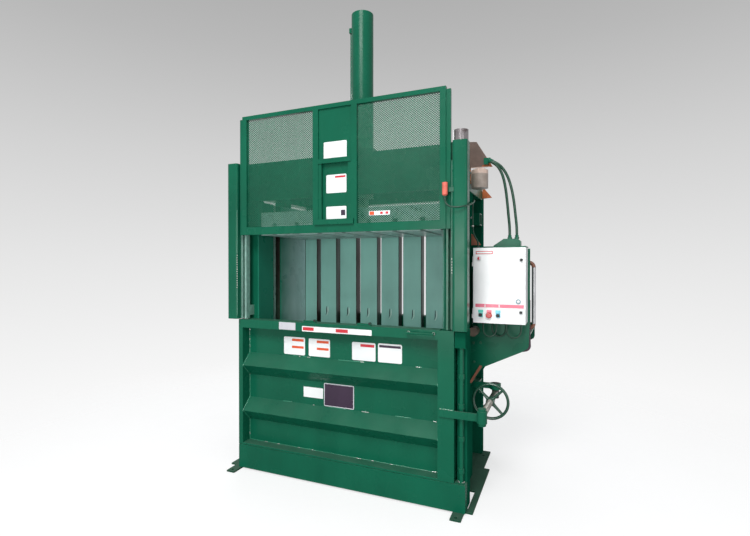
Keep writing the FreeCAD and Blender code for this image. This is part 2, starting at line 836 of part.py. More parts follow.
# ---------------------------------------------------------------- gate guides
def guide_box():
    """Square tube with rounded corners and a closed foot, beside the feed opening."""
    x0, x1, y0, y1 = guide_tube_inner, guide_tube_outer, guide_tube_y, guide_tube_y + guide_tube
    t = guide_tube_wall
    tube = block(x0, x1, y0, y1, guide_tube_z, guide_tube_top_z)
    core = block(x0 + t, x1 - t, y0 + t, y1 - t, guide_tube_z + t, guide_tube_top_z)
    tube = tube.makeFillet(guide_tube_corner, uprights(tube))
    return tube.cut(core.makeFillet(guide_tube_corner - t, uprights(core)))


def guide_box_cap():
    """Bare round sleeve that closes the right tube."""
    centre = guide_tube / 2
    x = guide_tube_inner + centre
    return rod(x, guide_tube_y + centre, guide_tube_top_z, centre - sleeve_inset, sleeve_height)


def gate_tracks():
    """Lipped channels for the gate shoes, and the brackets that hold the guide tubes."""
    x1 = guide_tube_inner
    x0 = x1 - track_width
    y1 = track_y + track_depth
    t = track_wall
    track = block(x0, x1, track_y, y1, guide_tube_z, guide_tube_top_z)
    track = track.cut(block(x0 + t, x1 - t, track_y + t, y1 - t, guide_tube_z, guide_tube_top_z))
    slot = (x0 + x1 - track_slot) / 2
    track = track.cut(block(slot, slot + track_slot, track_y, track_y + t, guide_tube_z, guide_tube_top_z))
    pieces = [track]
    bracket_x = guide_tube_outer - guide_tube_corner
    for z in (guide_tube_z + bracket_foot, guide_tube_top_z - bracket_drop):
        pieces.append(block(x0, bracket_x, guide_tube_y + guide_tube, front_y, z, z + bracket_size))
    return both_sides(pieces)


def counterweights():
    """Bars that balance the gate, at rest on the feet of the guide tubes."""
    w = guide_tube_wall + counterweight_clear
    x0 = guide_tube_inner + w
    x1 = guide_tube_outer - w
    y0 = guide_tube_y + w
    y1 = guide_tube_y + guide_tube - w
    bar = block(x0, x1, y0, y1, counterweight_z, counterweight_z + counterweight_height)
    return both_sides([bar.makeChamfer(counterweight_chamfer, uprights(bar))])


# ---------------------------------------------------------------- feed gate
def gate_frame():
    """Side angles with flanges, top and bottom rails and two centre bars."""
    stile_x = gate_side - gate_flange
    inner_x = stile_x - gate_stile
    flange_y = gate_y + gate_depth / 3
    bar_x = gate_bar_inner + gate_bar
    top_rail_z = gate_top_z - gate_top_rail
    bottom_rail_z = gate_bottom_z + gate_bottom_rail
    stile = block(inner_x, stile_x, gate_y, gate_back_y, gate_bottom_z, gate_top_z)
    flange = block(stile_x, gate_side, flange_y, gate_back_y, gate_bottom_z, gate_top_z - gate_flange_drop)
    bar = hollow_z(gate_bar_inner, bar_x, gate_y, gate_back_y, bottom_rail_z, top_rail_z, gate_wall)
    pieces = both_sides([joined(stile, flange), bar])
    for z0, z1 in ((top_rail_z, gate_top_z), (gate_bottom_z, bottom_rail_z)):
        pieces.append(hollow_x(-inner_x, inner_x, gate_y, gate_back_y, z0, z1, gate_wall))
    return pieces


def gate_shoes():
    """Sliding shoes on the gate, two a side, with necks through the track slots."""
    middle = guide_tube_inner - track_width / 2
    head_w = track_width / 2 - track_wall - run_clear
    neck_w = track_slot / 2 - run_clear
    y0 = track_y + track_wall + run_clear
    y1 = track_y + track_depth - track_wall - run_clear
    top_z = guide_tube_top_z - gate_shoe_inset - gate_shoe_height
    pieces = []
    for z in (gate_bottom_z + gate_shoe_inset, top_z):
        head = block(middle - head_w, middle + head_w, y0, y1, z, z + gate_shoe_height)
        neck = block(middle - neck_w, middle + neck_w, gate_back_y, y0, z, z + gate_shoe_height)
        pieces.append(joined(head, neck))
    return both_sides(pieces)


def diamond_mesh(x0, x1, z0, z1, y):
    """Flat expanded-metal sheet: diamond holes in one holed face."""
    sheet = [V(x0, y, z0), V(x1, y, z0), V(x1, y, z1), V(x0, y, z1)]
    outer = Part.makePolygon(sheet + [sheet[0]])
    pitch_x = (x1 - x0 - 2 * mesh_margin) / (mesh_columns + 0.5)
    pitch_z = (z1 - z0 - 2 * mesh_margin) / (mesh_rows + 0.5)
    a = (pitch_x - mesh_web) / 2
    b = (pitch_z - mesh_web) / 2
    holes = []
    for row in range(mesh_rows):
        for column in range(mesh_columns):
            cx = x0 + mesh_margin + pitch_x * (column + 0.5 + 0.5 * (row % 2))
            cz = z0 + mesh_margin + pitch_z * (row + 0.75)
            ring = [V(cx - a, y, cz), V(cx, y, cz - b), V(cx + a, y, cz), V(cx, y, cz + b)]
            holes.append(Part.makePolygon(ring + [ring[0]]))
    face = Part.makeFace([outer] + holes, "Part::FaceMakerBullseye")
    return face.extrude(V(0, mesh_t, 0))


def gate_mesh():
    """Expanded-metal sheets either side of the centre panel."""
    x0 = gate_bar_inner + gate_bar + seat_gap
    x1 = gate_side - gate_flange - gate_stile - seat_gap
    z0 = gate_bottom_z + gate_bottom_rail + seat_gap
    z1 = gate_top_z - gate_top_rail - seat_gap
    return both_sides([diamond_mesh(x0, x1, z0, z1, (gate_y + gate_back_y) / 2)])


def gate_centre_panel():
    """Solid centre of the gate: upper sheet, a ledge, a recessed lower box and its lip."""
    x = gate_bar_inner
    t = gate_wall
    z0 = gate_bottom_z + gate_bottom_rail
    z1 = gate_top_z - gate_top_rail
    ledge_z = z0 + ledge_height
    back = block(-x, x, gate_back_y - t, gate_back_y, z0, ledge_z)
    upper = block(-x, x, gate_y + 3 * t, gate_y + 4 * t, ledge_z, z1)
    ledge = block(-x, x, gate_y - t, gate_back_y, ledge_z, ledge_z + ledge_t)
    side = block(x - panel_side, x, gate_y + t, gate_back_y - t, z0, ledge_z)
    lip_x = x + lip_overhang
    lip = block(-lip_x, lip_x, gate_y - 4 * t, gate_y, z0 - t, z0 + ledge_t)
    return [joined(back, upper, ledge, side, mirrored(side)), lip]


# ---------------------------------------------------------------- platen
def platen_plate():
    """Top of the platen: a deck with cross ribs on top and a boss for the rod."""
    z = deck_z + platen_deck
    rib = platen_rib
    deck = block(-platen_x, platen_x, platen_y, -platen_y, deck_z, z)
    parts = [rod(0, 0, z, rod_flange_r, platen_rib_height)]
    for y in (platen_y, -rib / 2, -platen_y - rib):
        parts.append(block(-platen_x, platen_x, y, y + rib, z, platen_top_z))
    for x in (-platen_x, -(platen_x + rib) / 2, (platen_x - rib) / 2, platen_x - rib):
        parts.append(block(x, x + rib, platen_y, -platen_y, z, platen_top_z))
    return joined(deck, *parts)


def platen_pads():
    """Pressing pads: pans closed by the deck above them, with tie slots between them."""
    t = pad_wall
    pads = []
    for a, b in strip_edges(platen_x):
        pan = block(a, b, platen_y, -platen_y, platen_rest_z, deck_z)
        pads.append(pan.cut(block(a + t, b - t, platen_y + t, -platen_y - t, platen_rest_z + t, deck_z)))
    return pads


def platen_shoes():
    """Blocks on the platen ends that straddle the guide bars."""
    x1 = channel_x - guide_channel_wall - shoe_clear
    y0 = guide_centre_y - guide_slot / 2 + shoe_clear
    y1 = guide_centre_y + guide_slot / 2 - shoe_clear
    z0 = platen_rest_z + shoe_foot
    z1 = z0 + shoe_height
    g = guide_bar / 2 + seat_gap
    groove = block(guide_bar_x - seat_gap, x1, guide_centre_y - g, guide_centre_y + g, z0, z1)
    return both_sides([block(platen_x, x1, y0, y1, z0, z1).cut(groove)])


# ---------------------------------------------------------------- cylinder
def cylinder_barrel():
    """Barrel with its mounting flange and the upper oil port."""
    barrel = rod(0, 0, barrel_z, cylinder_r, cap_z - barrel_z)
    flange = rod(0, 0, cylinder_plate_z, cylinder_flange_r, cylinder_flange_t)
    h = port_size / 2
    z = cap_z - port_drop
    port = block(-cylinder_r - port_reach, -bore_r, -h, h, z - h, z + h)
    return bored(joined(barrel, flange, port), 0, 0, barrel_z, bore_r, cap_z - barrel_z)


def cylinder_cap():
    """Closed upper end, its plug seated in the bore."""
    plug_r = bore_r - fit
    profile = [
        (0, -cap_plug),
        (plug_r, -cap_plug),
        (plug_r, 0),
        (cylinder_r, 0),
        (cylinder_r, cap_height),
        (0, cap_height),
    ]
    return turned(profile, 0, 0, cap_z)


def cylinder_gland():
    """Gland at the lower end, bored for the piston rod."""
    gland = rod(0, 0, gland_bottom_z, cylinder_r, gland_height)
    return bored(gland, 0, 0, gland_bottom_z, rod_r + fit, gland_height)


def cylinder_pipe():
    """Oil line from the top port down to the cylinder flange."""
    z0 = cylinder_plate_z + cylinder_flange_t
    z1 = cap_z - port_drop - port_size / 2
    return rod(-cylinder_r - 1.5 * oil_pipe_r, 0, z0, oil_pipe_r, z1 - z0)


def piston_rod():
    """Rod with its lower flange and the piston."""
    flange_z = platen_top_z + rod_flange_t
    piston_r = bore_r - fit
    top = piston_z + piston_height
    profile = [
        (0, platen_top_z),
        (rod_flange_r, platen_top_z),
        (rod_flange_r, flange_z),
        (rod_r, flange_z),
        (rod_r, piston_z),
        (piston_r, piston_z),
        (piston_r, top),
        (0, top),
    ]
    return turned(profile, 0, 0, 0)


def bolt_circle(count, circle_r, z, r, height):
    """Hexagon heads evenly spaced round the cylinder axis."""
    places = ring_of(count, circle_r, 180 / count)
    return [faceted(x, y, z, r, height) for x, y in places]


def flange_bolts():
    """Bolts of the cylinder flange."""
    circle_r = cylinder_flange_r - flange_bolt_inset
    z = cylinder_plate_z + cylinder_flange_t
    return bolt_circle(flange_bolt_count, circle_r, z, flange_bolt_r, flange_bolt_r)


def rod_bolts():
    """Bolts that hold the rod flange to the platen boss."""
    circle_r = (rod_r + rod_flange_r) / 2
    return bolt_circle(rod_bolt_count, circle_r, platen_top_z + rod_flange_t, rod_bolt_r, rod_bolt_r)


# ---------------------------------------------------------------- chamber door
def door_skin():
    """Back plate of the door."""
    return block(door_left, door_right, door_back_y - wall_t, door_back_y, sill_top_z + door_gap, door_top_z)


def door_frame():
    """Stiles, top rail, bottom bar and the two pointed ribs, in front of the skin."""
    y1 = door_back_y - wall_t
    z0 = sill_top_z + door_gap
    left_x = door_left + door_left_stile
    right_x = door_right - door_right_stile
    rail_z = door_top_z - door_rail_height
    pieces = [
        hollow_z(door_left, left_x, door_y, y1, z0, door_top_z, door_wall),
        hollow_z(right_x, door_right, door_y, y1, z0, door_top_z, door_wall),
        hollow_x(left_x, right_x, door_y, y1, rail_z, door_top_z, door_wall),
        block(left_x, right_x, door_y, y1, z0, z0 + door_bottom_bar),
    ]
    for drop in rib_drops:
        pieces.append(door_rib(left_x, right_x, door_top_z - drop, y1))
    return pieces


def door_rib(x0, x1, z, y1):
    """Angle iron welded by its toes to the skin, its corner towards the front."""
    tip = y1 - rib_point
    t = rib_wall * math.sqrt(2)
    outline = [
        (tip, z),
        (y1, z + rib_point),
        (y1, z + rib_point - t),
        (tip + t, z),
        (y1, z - rib_point + t),
        (y1, z - rib_point),
    ]
    return prism([(x0, y, h) for y, h in outline], (x1 - x0, 0, 0))


def frame_hinge_leaves():
    """Frame leaves, two knuckles each on one pin that passes through the door knuckle."""
    pieces = []
    for z in hinge_heights:
        foot = z - 1.5 * hinge_leaf
        parts = []
        for z0 in (foot, foot + 2 * hinge_leaf):
            parts.append(faceted(hinge_x, hinge_y, z0, hinge_r, hinge_leaf, hinge_sides))
            parts.append(block(hinge_x, -post_x, hinge_y, front_y + hinge_frame_leaf, z0, z0 + hinge_leaf))
        pin = rod(hinge_x, hinge_y, foot, hinge_pin_r, 3 * hinge_leaf)
        pieces.append(joined(pin, *parts))
    return pieces


def door_hinge_leaves():
    """Door leaves, one knuckle each between the frame knuckles."""
    leaves = []
    outer = hinge_x - hinge_r
    y0 = door_y + hinge_leaf_front
    height = hinge_leaf - 2 * hinge_side_gap
    for z in hinge_heights:
        z0 = z - height / 2
        barrel = faceted(hinge_x, hinge_y, z0, hinge_r, height, hinge_sides)
        arm = block(outer, hinge_x, y0, hinge_y, z0, z0 + height)
        foot = block(outer, door_left, y0, door_back_y - hinge_leaf_back, z0, z0 + height)
        leaves.append(bored(joined(barrel, arm, foot), hinge_x, hinge_y, z0, hinge_pin_r + fit, height))
    return leaves


def door_fittings():
    """Tie hooks on top of the door and the pull handle on its top rail."""
    pieces = []
    y = door_y + hook_back
    for x in hook_places:
        x1 = x + hook_length
        bar = block(x, x1, y, y + hook_bar, door_top_z, door_top_z + hook_bar)
        hook = faceted(x1 - hook_r, y, door_top_z + hook_bar, hook_r, hook_bar, handle_sides, (0, 1, 0))
        pieces.append(joined(bar, hook))
    y = door_y - handle_proud
    z = door_top_z - handle_drop
    x1 = handle_left + handle_length
    n = handle_sides
    grip = faceted(handle_left, y, z, handle_r, handle_length, n, (1, 0, 0))
    legs = []
    for x in (handle_left + handle_leg, x1 - handle_leg):
        legs.append(faceted(x, y, z, handle_r, handle_proud, n, (0, 1, 0)))
    pieces.append(joined(grip, *legs))
    return pieces


def latch_arm():
    """Arm welded across the right stile, with a bored swivel boss at its end."""
    z0 = screw_z - arm_drop
    arm = block(door_right - arm_reach, screw_x, door_y - arm_t, door_y, z0, z0 + arm_height)
    low = screw_z - nut_foot
    top = screw_z + nut_head
    body = faceted(screw_x, nut_y, low + nut_step, nut_r, top - low - 2 * nut_step, nut_sides)
    boss = joined(faceted(screw_x, nut_y, low, nut_neck * nut_r, top - low, nut_sides), body)
    hole_y = nut_y - nut_bore_end
    hole_r = screw_r + nut_bore_clear
    return bored(joined(arm, boss), screw_x, hole_y, screw_z, hole_r, 2 * nut_r, (0, 1, 0))


# ---------------------------------------------------------------- latch side
def latch_post():
    """Outer post with the foot and head blocks that hold the keeper rod."""
    x1 = latch_post_outer
    y1 = latch_post_y + latch_post_depth
    x0 = door_right + door_gap
    post = hollow_z(post_x, x1, latch_post_y, y1, plate_t, door_top_z, latch_post_wall)
    foot = block(x0, x1 - rod_foot_inset, door_y + rod_foot_inset, latch_post_y, sill_top_z, rod_foot_top)
    head = block(x0, x1, door_y + latch_head_step, latch_post_y, rod_top_z, door_top_z - latch_head_drop)
    return [post, foot, head]


def latch_rod():
    """Upright keeper rod between foot and head, with eight-sided lugs fixed to the post."""
    pieces = [rod(rod_x, rod_y_place, rod_foot_top, rod_radius, rod_top_z - rod_foot_top)]
    h = knuckle_height
    w = knuckle_tab / 2
    n = knuckle_sides
    seat_r = rod_radius / math.cos(math.pi / n)
    for z in knuckle_heights:
        collar = faceted(rod_x, rod_y_place, z, knuckle_r, h, n)
        tab = block(rod_x - w, rod_x + w, rod_y_place, latch_post_y, z, z + h)
        pieces.append(joined(collar, tab).cut(faceted(rod_x, rod_y_place, z, seat_r, h, n)))
    return pieces


def latch_bracket():
    """Bar from the middle post with an eye round the bearing block."""
    z1 = screw_z + bearing_head - bracket_top_gap
    z0 = z1 - bracket_bar
    y0 = bearing_y - bracket_t / 2
    bar = block(post_x, screw_x, y0, y0 + bracket_t, z0, z1)
    eye = faceted(screw_x, bearing_y, z0, eye_r, bracket_bar, eye_sides)
    return bored(joined(bar, eye), screw_x, bearing_y, z0, bearing_r + seat_gap, bracket_bar)


def latch_bearing():
    """Round swivel block, cross-bored for the tail of the screw."""
    r = bearing_r
    low = screw_z - bearing_foot
    body = rod(screw_x, bearing_y, low, r, screw_z + bearing_head - low)
    return bored(body, screw_x, bearing_y - 2 * r, screw_z, screw_r + fit, 4 * r, (0, 1, 0))


def latch_screw():
    """Screw spindle with a collar and a hexagonal tail nut either side of the bearing."""
    reach = bearing_r + collar_gap
    y0 = nut_y - nut_bore_end + screw_tip_gap
    y1 = bearing_y + reach + 1.5 * collar_t
    bar = rod_y(screw_x, y0, screw_z, screw_r, y1 - y0)
    collar_y = bearing_y - reach - collar_t
    collar = faceted(screw_x, collar_y, screw_z, collar_r, collar_t, eye_sides, (0, 1, 0))
    tail = faceted(screw_x, bearing_y + reach, screw_z, collar_r, collar_t, 6, (0, 1, 0))
    return joined(bar, collar, tail)


def wheel_rim(rim_at):
    """Rim of six-sided section, in short straight lengths round the hub."""
    half_t = wheel_rim_r * math.sqrt(0.75)
    reach = wheel_rim_r / 2
    shells = []
    for wide, narrow in ((wheel_r, rim_at + reach), (rim_at - wheel_rim_r, rim_at - reach)):
        rings = []
        for y, r in ((wheel_y - half_t, narrow), (wheel_y, wide), (wheel_y + half_t, narrow)):
            corners = [V(screw_x + x, y, screw_z + z) for x, z in ring_of(rim_sides, r)]
            rings.append(Part.makePolygon(corners + [corners[0]]))
        shells.append(Part.makeLoft(rings, True, True))
    return shells[0].cut(shells[1])


def handwheel():
    """Spoked wheel with a rounded rim and a plain hub."""
    rim_at = wheel_r - wheel_rim_r
    rim = wheel_rim(rim_at)
    h = wheel_hub_length / 2
    hub = rod_y(screw_x, wheel_y - h, screw_z, wheel_hub_r, 2 * h)
    spokes = []
    for x, z in ring_of(wheel_spokes, 1, 45):
        spokes.append(faceted(screw_x, wheel_y, screw_z, spoke_r, rim_at, spoke_sides, (x, 0, z)))
    return bored(joined(rim, hub, *spokes), screw_x, wheel_y - h, screw_z, screw_r, 2 * h, (0, 1, 0))


# ---------------------------------------------------------------- control box
def control_box():
    """Open-fronted steel box fixed to the front plate of the tray, with two hinge lugs and their pins."""
    t = box_wall
    y0 = box_open_y
    shell = block(box_left, box_right, y0, tray_y, box_bottom_z, box_top_z)
    shell = shell.cut(block(box_left + t, box_right - t, y0, tray_y - t, box_bottom_z + t, box_top_z - t))
    height = box_hinge_leaf + 2 * box_hinge_r
    pieces = [shell]
    for z in box_hinge_tops:
        lug = faceted(box_hinge_x, box_hinge_y, z, box_hinge_r, height, knuckle_sides)
        arm = block(box_hinge_x, box_left, box_hinge_y, box_hinge_y + box_hinge_r, z, z + height)
        pin = rod(box_hinge_x, box_hinge_y, z - box_hinge_leaf, box_hinge_pin_r, box_hinge_leaf)
        pieces.append(joined(lug, arm, pin))
    return pieces


def control_gear():
    """Mounting plate on spacers, with contactors, transformer and terminal rail."""
    wall_y = tray_y - box_wall
    y = wall_y - gear_spacer - gear_plate
    x0 = box_left + gear_rim
    x1 = box_right - gear_rim
    z0 = box_bottom_z + gear_rim
    z1 = box_top_z - gear_rim
    pieces = [block(x0, x1, y, y + gear_plate, z0, z1)]
    edge = gear_rim / 2
    for x in (x0 + edge, x1 - edge):
        for z in (z0 + edge, z1 - edge):
            pieces.append(faceted(x, wall_y - gear_spacer, z, gear_spacer, gear_spacer, 6, (0, 1, 0)))
    for place_x, place_z, width, height, depth in control_devices:
        x = x0 + place_x
        z = z0 + place_z
        pieces.append(block(x, x + width, y - depth, y, z, z + height))
    return pieces


def control_box_door():
    """Shallow pan with two hinge knuckles, pierced for buttons, key switch and latch."""
    t = box_wall
    y0 = box_front_y
    y1 = box_open_y - seat_gap
    pan = block(box_left, box_right, y0, y1, box_bottom_z, box_top_z)
    pan = pan.cut(block(box_left + t, box_right - t, y0 + t, y1, box_bottom_z + t, box_top_z - t))
    for place in button_places:
        pan = bored(pan, box_left + place, y0, button_z, button_stem_r + fit, t, (0, 1, 0))
    for x, z in ((key_x, key_z), (box_latch_x, box_latch_z)):
        pan = bored(pan, x, y0, z, knob_stem_r + fit, t, (0, 1, 0))
    pieces = [pan]
    arm_y = y0 + 3 * t
    outer = box_hinge_x - box_hinge_r
    for z in box_hinge_tops:
        z0 = z - box_hinge_leaf
        z1 = z - seat_gap
        barrel = faceted(box_hinge_x, box_hinge_y, z0, box_hinge_r, z1 - z0, knuckle_sides)
        reach = block(outer, box_left, arm_y, arm_y + 3 * t, z0, z1)
        arm = block(outer, box_hinge_x, arm_y, box_hinge_y, z0, z1)
        leaf = joined(barrel, reach, arm)
        pieces.append(bored(leaf, box_hinge_x, box_hinge_y, z0, box_hinge_pin_r + fit, z1 - z0))
    return pieces


def push_button(place, r, proud, edge):
    """Cap with a sloped edge on a stem that slides in the box door."""
    x = box_left + place
    y = box_front_y - legend_t - button_travel - button_gap - proud
    rings = []
    for along, size in ((0, r - edge), (edge, r), (proud, r)):
        corners = [V(x + dx, y + along, button_z + dz) for dx, dz in ring_of(cap_sides, size)]
        rings.append(Part.makePolygon(corners + [corners[0]]))
    cap = Part.makeLoft(rings, True, True)
    y += proud
    stem = rod_y(x, y, button_z, button_stem_r, box_front_y + box_wall + stem_tail - y)
    return joined(cap, stem)


def turn_knob(x, z, cam):
    """Spindle with a knob in front of the box door, and a cam behind it where it locks."""
    y = box_front_y - knob_plate_t - seat_gap
    r = knob_r
    w = knob_grip / 2
    knob = faceted(x, y - r, z, r, r, cap_sides, (0, 1, 0))
    grip = block(x - w, x + w, y - r - knob_grip, y - r, z - r + 1, z + r - 1)
    spindle = rod_y(x, y, z, knob_stem_r, knob_spindle)
    pieces = [grip, spindle]
    if cam:
        h = cam_width / 2
        pieces.append(block(x - h, x + cam, y + cam_back, y + cam_back + cam_t, z - h, z + h))
    return joined(knob, *pieces)


def square_plate(x, z, half_side, hole, y, t):
    """Square plate that faces the front, with a square hole in its middle."""
    plate = block(x - half_side, x + half_side, y, y + t, z - half_side, z + half_side)
    return plate.cut(block(x - hole, x + hole, y, y + t, z - hole, z + hole))


def panel_fittings():
    """What is fixed to the box door: lamp, button plates with contact blocks, key and latch plates."""
    x = box_left + lamp_in
    z = box_top_z - lamp_drop
    h = legend_side / 2
    y = box_front_y
    pieces = [block(x - h, x + h, y - legend_t, y, z - h, z + h)]
    pieces.append(faceted(x, y - legend_t - lens_height, z, lens_r, lens_height, cap_sides, (0, 1, 0)))
    hole = button_stem_r + legend_clear
    inside_y = y + box_wall
    well = stem_tail + button_travel + button_gap
    for place in button_places:
        x = box_left + place
        pieces.append(square_plate(x, button_z, h, hole, y - legend_t, legend_t))
        front = square_plate(x, button_z, contact_side / 2, hole, inside_y, well)
        c = contact_side / 2
        rear = block(x - c, x + c, inside_y + well, inside_y + contact_depth, button_z - c, button_z + c)
        pieces.append(joined(front, rear))
    side = knob_r + knob_plate_t
    for x, z in ((key_x, key_z), (box_latch_x, box_latch_z)):
        pieces.append(square_plate(x, z, side, knob_stem_r + legend_clear, y - knob_plate_t, knob_plate_t))
    return pieces


# ---------------------------------------------------------------- power unit
def power_tray():
    """Front plate, rear plate and shelf that stand out from the right side."""
    outer = tray_outer
    edge = [
        (post_x, shelf_z - tray_foot),
        (post_x + tray_knee_out, shelf_z - tray_knee),
        (outer - tray_corner, shelf_z - tray_corner_drop),
        (outer - tray_edge, shelf_z - tray_edge_drop),
        (outer, shelf_z - tray_side_drop),
    ]
    top = box_top_z - tray_top_drop
    shoulder = shelf_z + tray_shoulder
    rim = shelf_z + shelf_t + tray_rim
    front = edge + [(outer, top), (tank_left, top), (tank_left, shoulder), (post_x, shoulder)]
    rear = edge + [(outer, rim), (post_x, rim)]
    shelf = block(post_x, outer, tray_y + tray_plate, tray_rear_y, shelf_z, shelf_z + shelf_t)
    return [plate_xz(front, tray_y, tray_plate), plate_xz(rear, tray_rear_y, tray_plate), shelf]


def oil_tank():
    """Tank on the shelf, with its lid and filler cap."""
    y1 = tank_y + tank_depth
    lid_z = tank_top_z - tank_lid_t
    body = block(tank_left, tank_right, tank_y, y1, shelf_z + shelf_t, lid_z)
    body = body.makeChamfer(tank_corner, [e for e in uprights(body) if e.Vertexes[0].Y > tank_y + 1])
    t = tank_wall
    body = body.cut(block(tank_left + t, tank_right - t, tank_y + t, y1 - t, shelf_z + shelf_t + t, lid_z))
    rim = tank_lid_rim
    lid = block(tank_left - rim, tank_right + rim, tank_y, y1 + rim, lid_z, tank_top_z)
    x = tank_left + filler_in
    y = y1 - filler_back
    neck = faceted(x, y, tank_top_z, filler_neck * filler_r, filler_height, filler_sides)
    cap = faceted(x, y, tank_top_z + filler_height, filler_r, filler_height, filler_sides)
    return [body, lid, joined(neck, cap)]


def hose_manifold():
    """Cast block on the tank lid with two hose fittings, and the fittings on the upper gusset."""
    y = tray_y + manifold_back
    z = tank_top_z
    top = z + manifold_height
    left = tank_left + manifold_left
    right = tank_right - manifold_right
    outline = [
        (left, z),
        (right, z),
        (right, z + manifold_side),
        (right - manifold_bevel, top),
        (left + manifold_slope, top),
        (left, z + manifold_toe),
    ]
    pieces = [plate_xz(outline, y, manifold_depth)]
    nut_top = top + hose_nut
    for x, hose_y, end_z in (hose_a_route[-1], hose_b_route[-1]):
        pieces.append(faceted(x, hose_y, top, hose_nut_r, hose_nut))
        pieces.append(faceted(x, hose_y, nut_top, hose_fitting_r, end_z - nut_top, gland_sides))
    near = gusset_y - carrier_front
    rear = gusset_y + gusset_t
    for route, y0, y1 in ((hose_a_route, near, gusset_y), (hose_b_route, rear, rear + carrier_back)):
        start = V(*route[0])
        d = (V(*route[1]) - start).normalize()
        x1 = start.x - carrier_gap
        z0 = start.z - carrier_drop
        carrier = block(x1 - carrier_width, x1, y0, y1, z0, start.z + carrier_rise)
        fitting = faceted(*(start - d * hose_fitting), hose_fitting_r, hose_fitting, gland_sides, d)
        pieces.append(carrier)
        pieces.append(fitting.cut(carrier))
    return pieces


def return_pipe():
    """Bare pipe beside the tank, with a bend at each end."""
    low = shelf_z + pipe_low
    top = box_top_z - pipe_drop
    x0 = tank_right
    x1 = x0 + pipe_out
    y = tray_y + pipe_back
    bend = pipe_bend
    corner = bend * (1 - math.sqrt(0.5))
    runs = [
        Part.LineSegment(V(x0, y, top), V(x1 - bend, y, top)),
        Part.Arc(V(x1 - bend, y, top), V(x1 - corner, y, top - corner), V(x1, y, top - bend)),
        Part.LineSegment(V(x1, y, top - bend), V(x1, y, low + bend)),
        Part.Arc(V(x1, y, low + bend), V(x1 - corner, y, low + corner), V(x1 - bend, y, low)),
        Part.LineSegment(V(x1 - bend, y, low), V(x0, y, low)),
    ]
    path = Part.Wire([s.toShape() for s in runs])
    corners = [V(x0, y + dy, top + dz) for dy, dz in ring_of(pipe_sides, pipe_r)]
    ring = Part.makePolygon(corners + [corners[0]])
    return path.makePipeShell([ring], True, False)


def electric_motor():
    """Foot-mounted motor behind the tank: finned body, end bell, fan cowl, feet and terminal box."""
    y0 = tank_y + tank_depth + pump_length + bell_length
    r = motor_r
    n = motor_length
    outline = []
    for i, (x, z) in enumerate(ring_of(4 * motor_fins, 1)):
        reach = r if i % 4 < 2 else r - motor_fin
        outline.append((motor_x + reach * x, motor_z + reach * z))
    body = plate_xz(outline, y0 + motor_bell, n - motor_bell - motor_cowl)
    bell = faceted(motor_x, y0, motor_z, r - 2 * motor_fin, motor_bell, motor_sides, (0, 1, 0))
    cowl = faceted(motor_x, y0 + n - motor_cowl, motor_z, r, motor_cowl, motor_sides, (0, 1, 0))
    foot_x = r - foot_inset
    foot_y = y0 + n - foot_rear
    foot_top = motor_z - r + foot_rise
    feet = block(motor_x - foot_x, motor_x + foot_x, y0 + foot_front, foot_y, shelf_z + shelf_t, foot_top)
    x = motor_x + motor_box_in
    y = foot_y - motor_box
    z = motor_z + motor_box_in
    box = block(x, motor_x + r + motor_box_out, y, foot_y, z, z + motor_box_height)
    return [joined(body, bell, cowl, feet, box)]


def pump():
    """Gear pump and bell housing between tank and motor."""
    y = tank_y + tank_depth
    body = block(motor_x - pump_r, motor_x + pump_r, y, y + pump_body, motor_z - pump_r, motor_z + pump_r)
    length = pump_length + bell_length - pump_body
    bell = faceted(motor_x, y + pump_body, motor_z, bell_r, length, motor_sides, (0, 1, 0))
    return joined(body, bell)


def side_gussets():
    """Primed plates on the right: one carries the hose fittings, one is on the rear post."""
    low = gusset_low_z
    top = gusset_top_z
    upper = [(post_x, low), (post_x, top), (post_x + gusset_neck, top - 4), (post_x + gusset_out, low)]
    beam_top_z = top_beam_z + top_beam_height
    foot = block(post_x - gusset_foot, post_x, gusset_y, gusset_y + gusset_t, beam_top_z, top)
    z = rear_gusset_z
    lower = [(post_x, z), (post_x, z + rear_gusset_height), (post_x + rear_gusset_out, z + gusset_t / 2)]
    rear = plate_xz(lower, rear_post_y + gusset_back, gusset_t)
    return [joined(plate_xz(upper, gusset_y, gusset_t), foot), rear]


def valve_can():
    """Upright canister on the side beam, below the hose fittings."""
    r = can_r
    low = top_beam_z + can_rise
    top = low + can_height
    can_x = post_x + r + can_gap
    can_y = side_post_y + can_back
    rings = []
    for z, size in ((low, r), (top - can_shoulder, r), (top, r - 2 * can_shoulder)):
        corners = [V(can_x + x, can_y + y, z) for x, y in ring_of(can_sides, size)]
        rings.append(Part.makePolygon(corners + [corners[0]]))
    can = Part.makeLoft(rings, True, True)
    y = side_post_y + saddle_front
    z = low + saddle_rise
    saddle = block(post_x, post_x + saddle_width, y, y + saddle_depth, z, z + saddle_height)
    return joined(can, saddle)


def junction_can():
    """Round can that lies on the front of the tray, beside the posts."""
    x = post_x + junction_r + can_gap
    y = tray_y - junction_length
    z = shelf_z + junction_rise
    return faceted(x, y, z, junction_r, junction_length, junction_sides, (0, 1, 0))


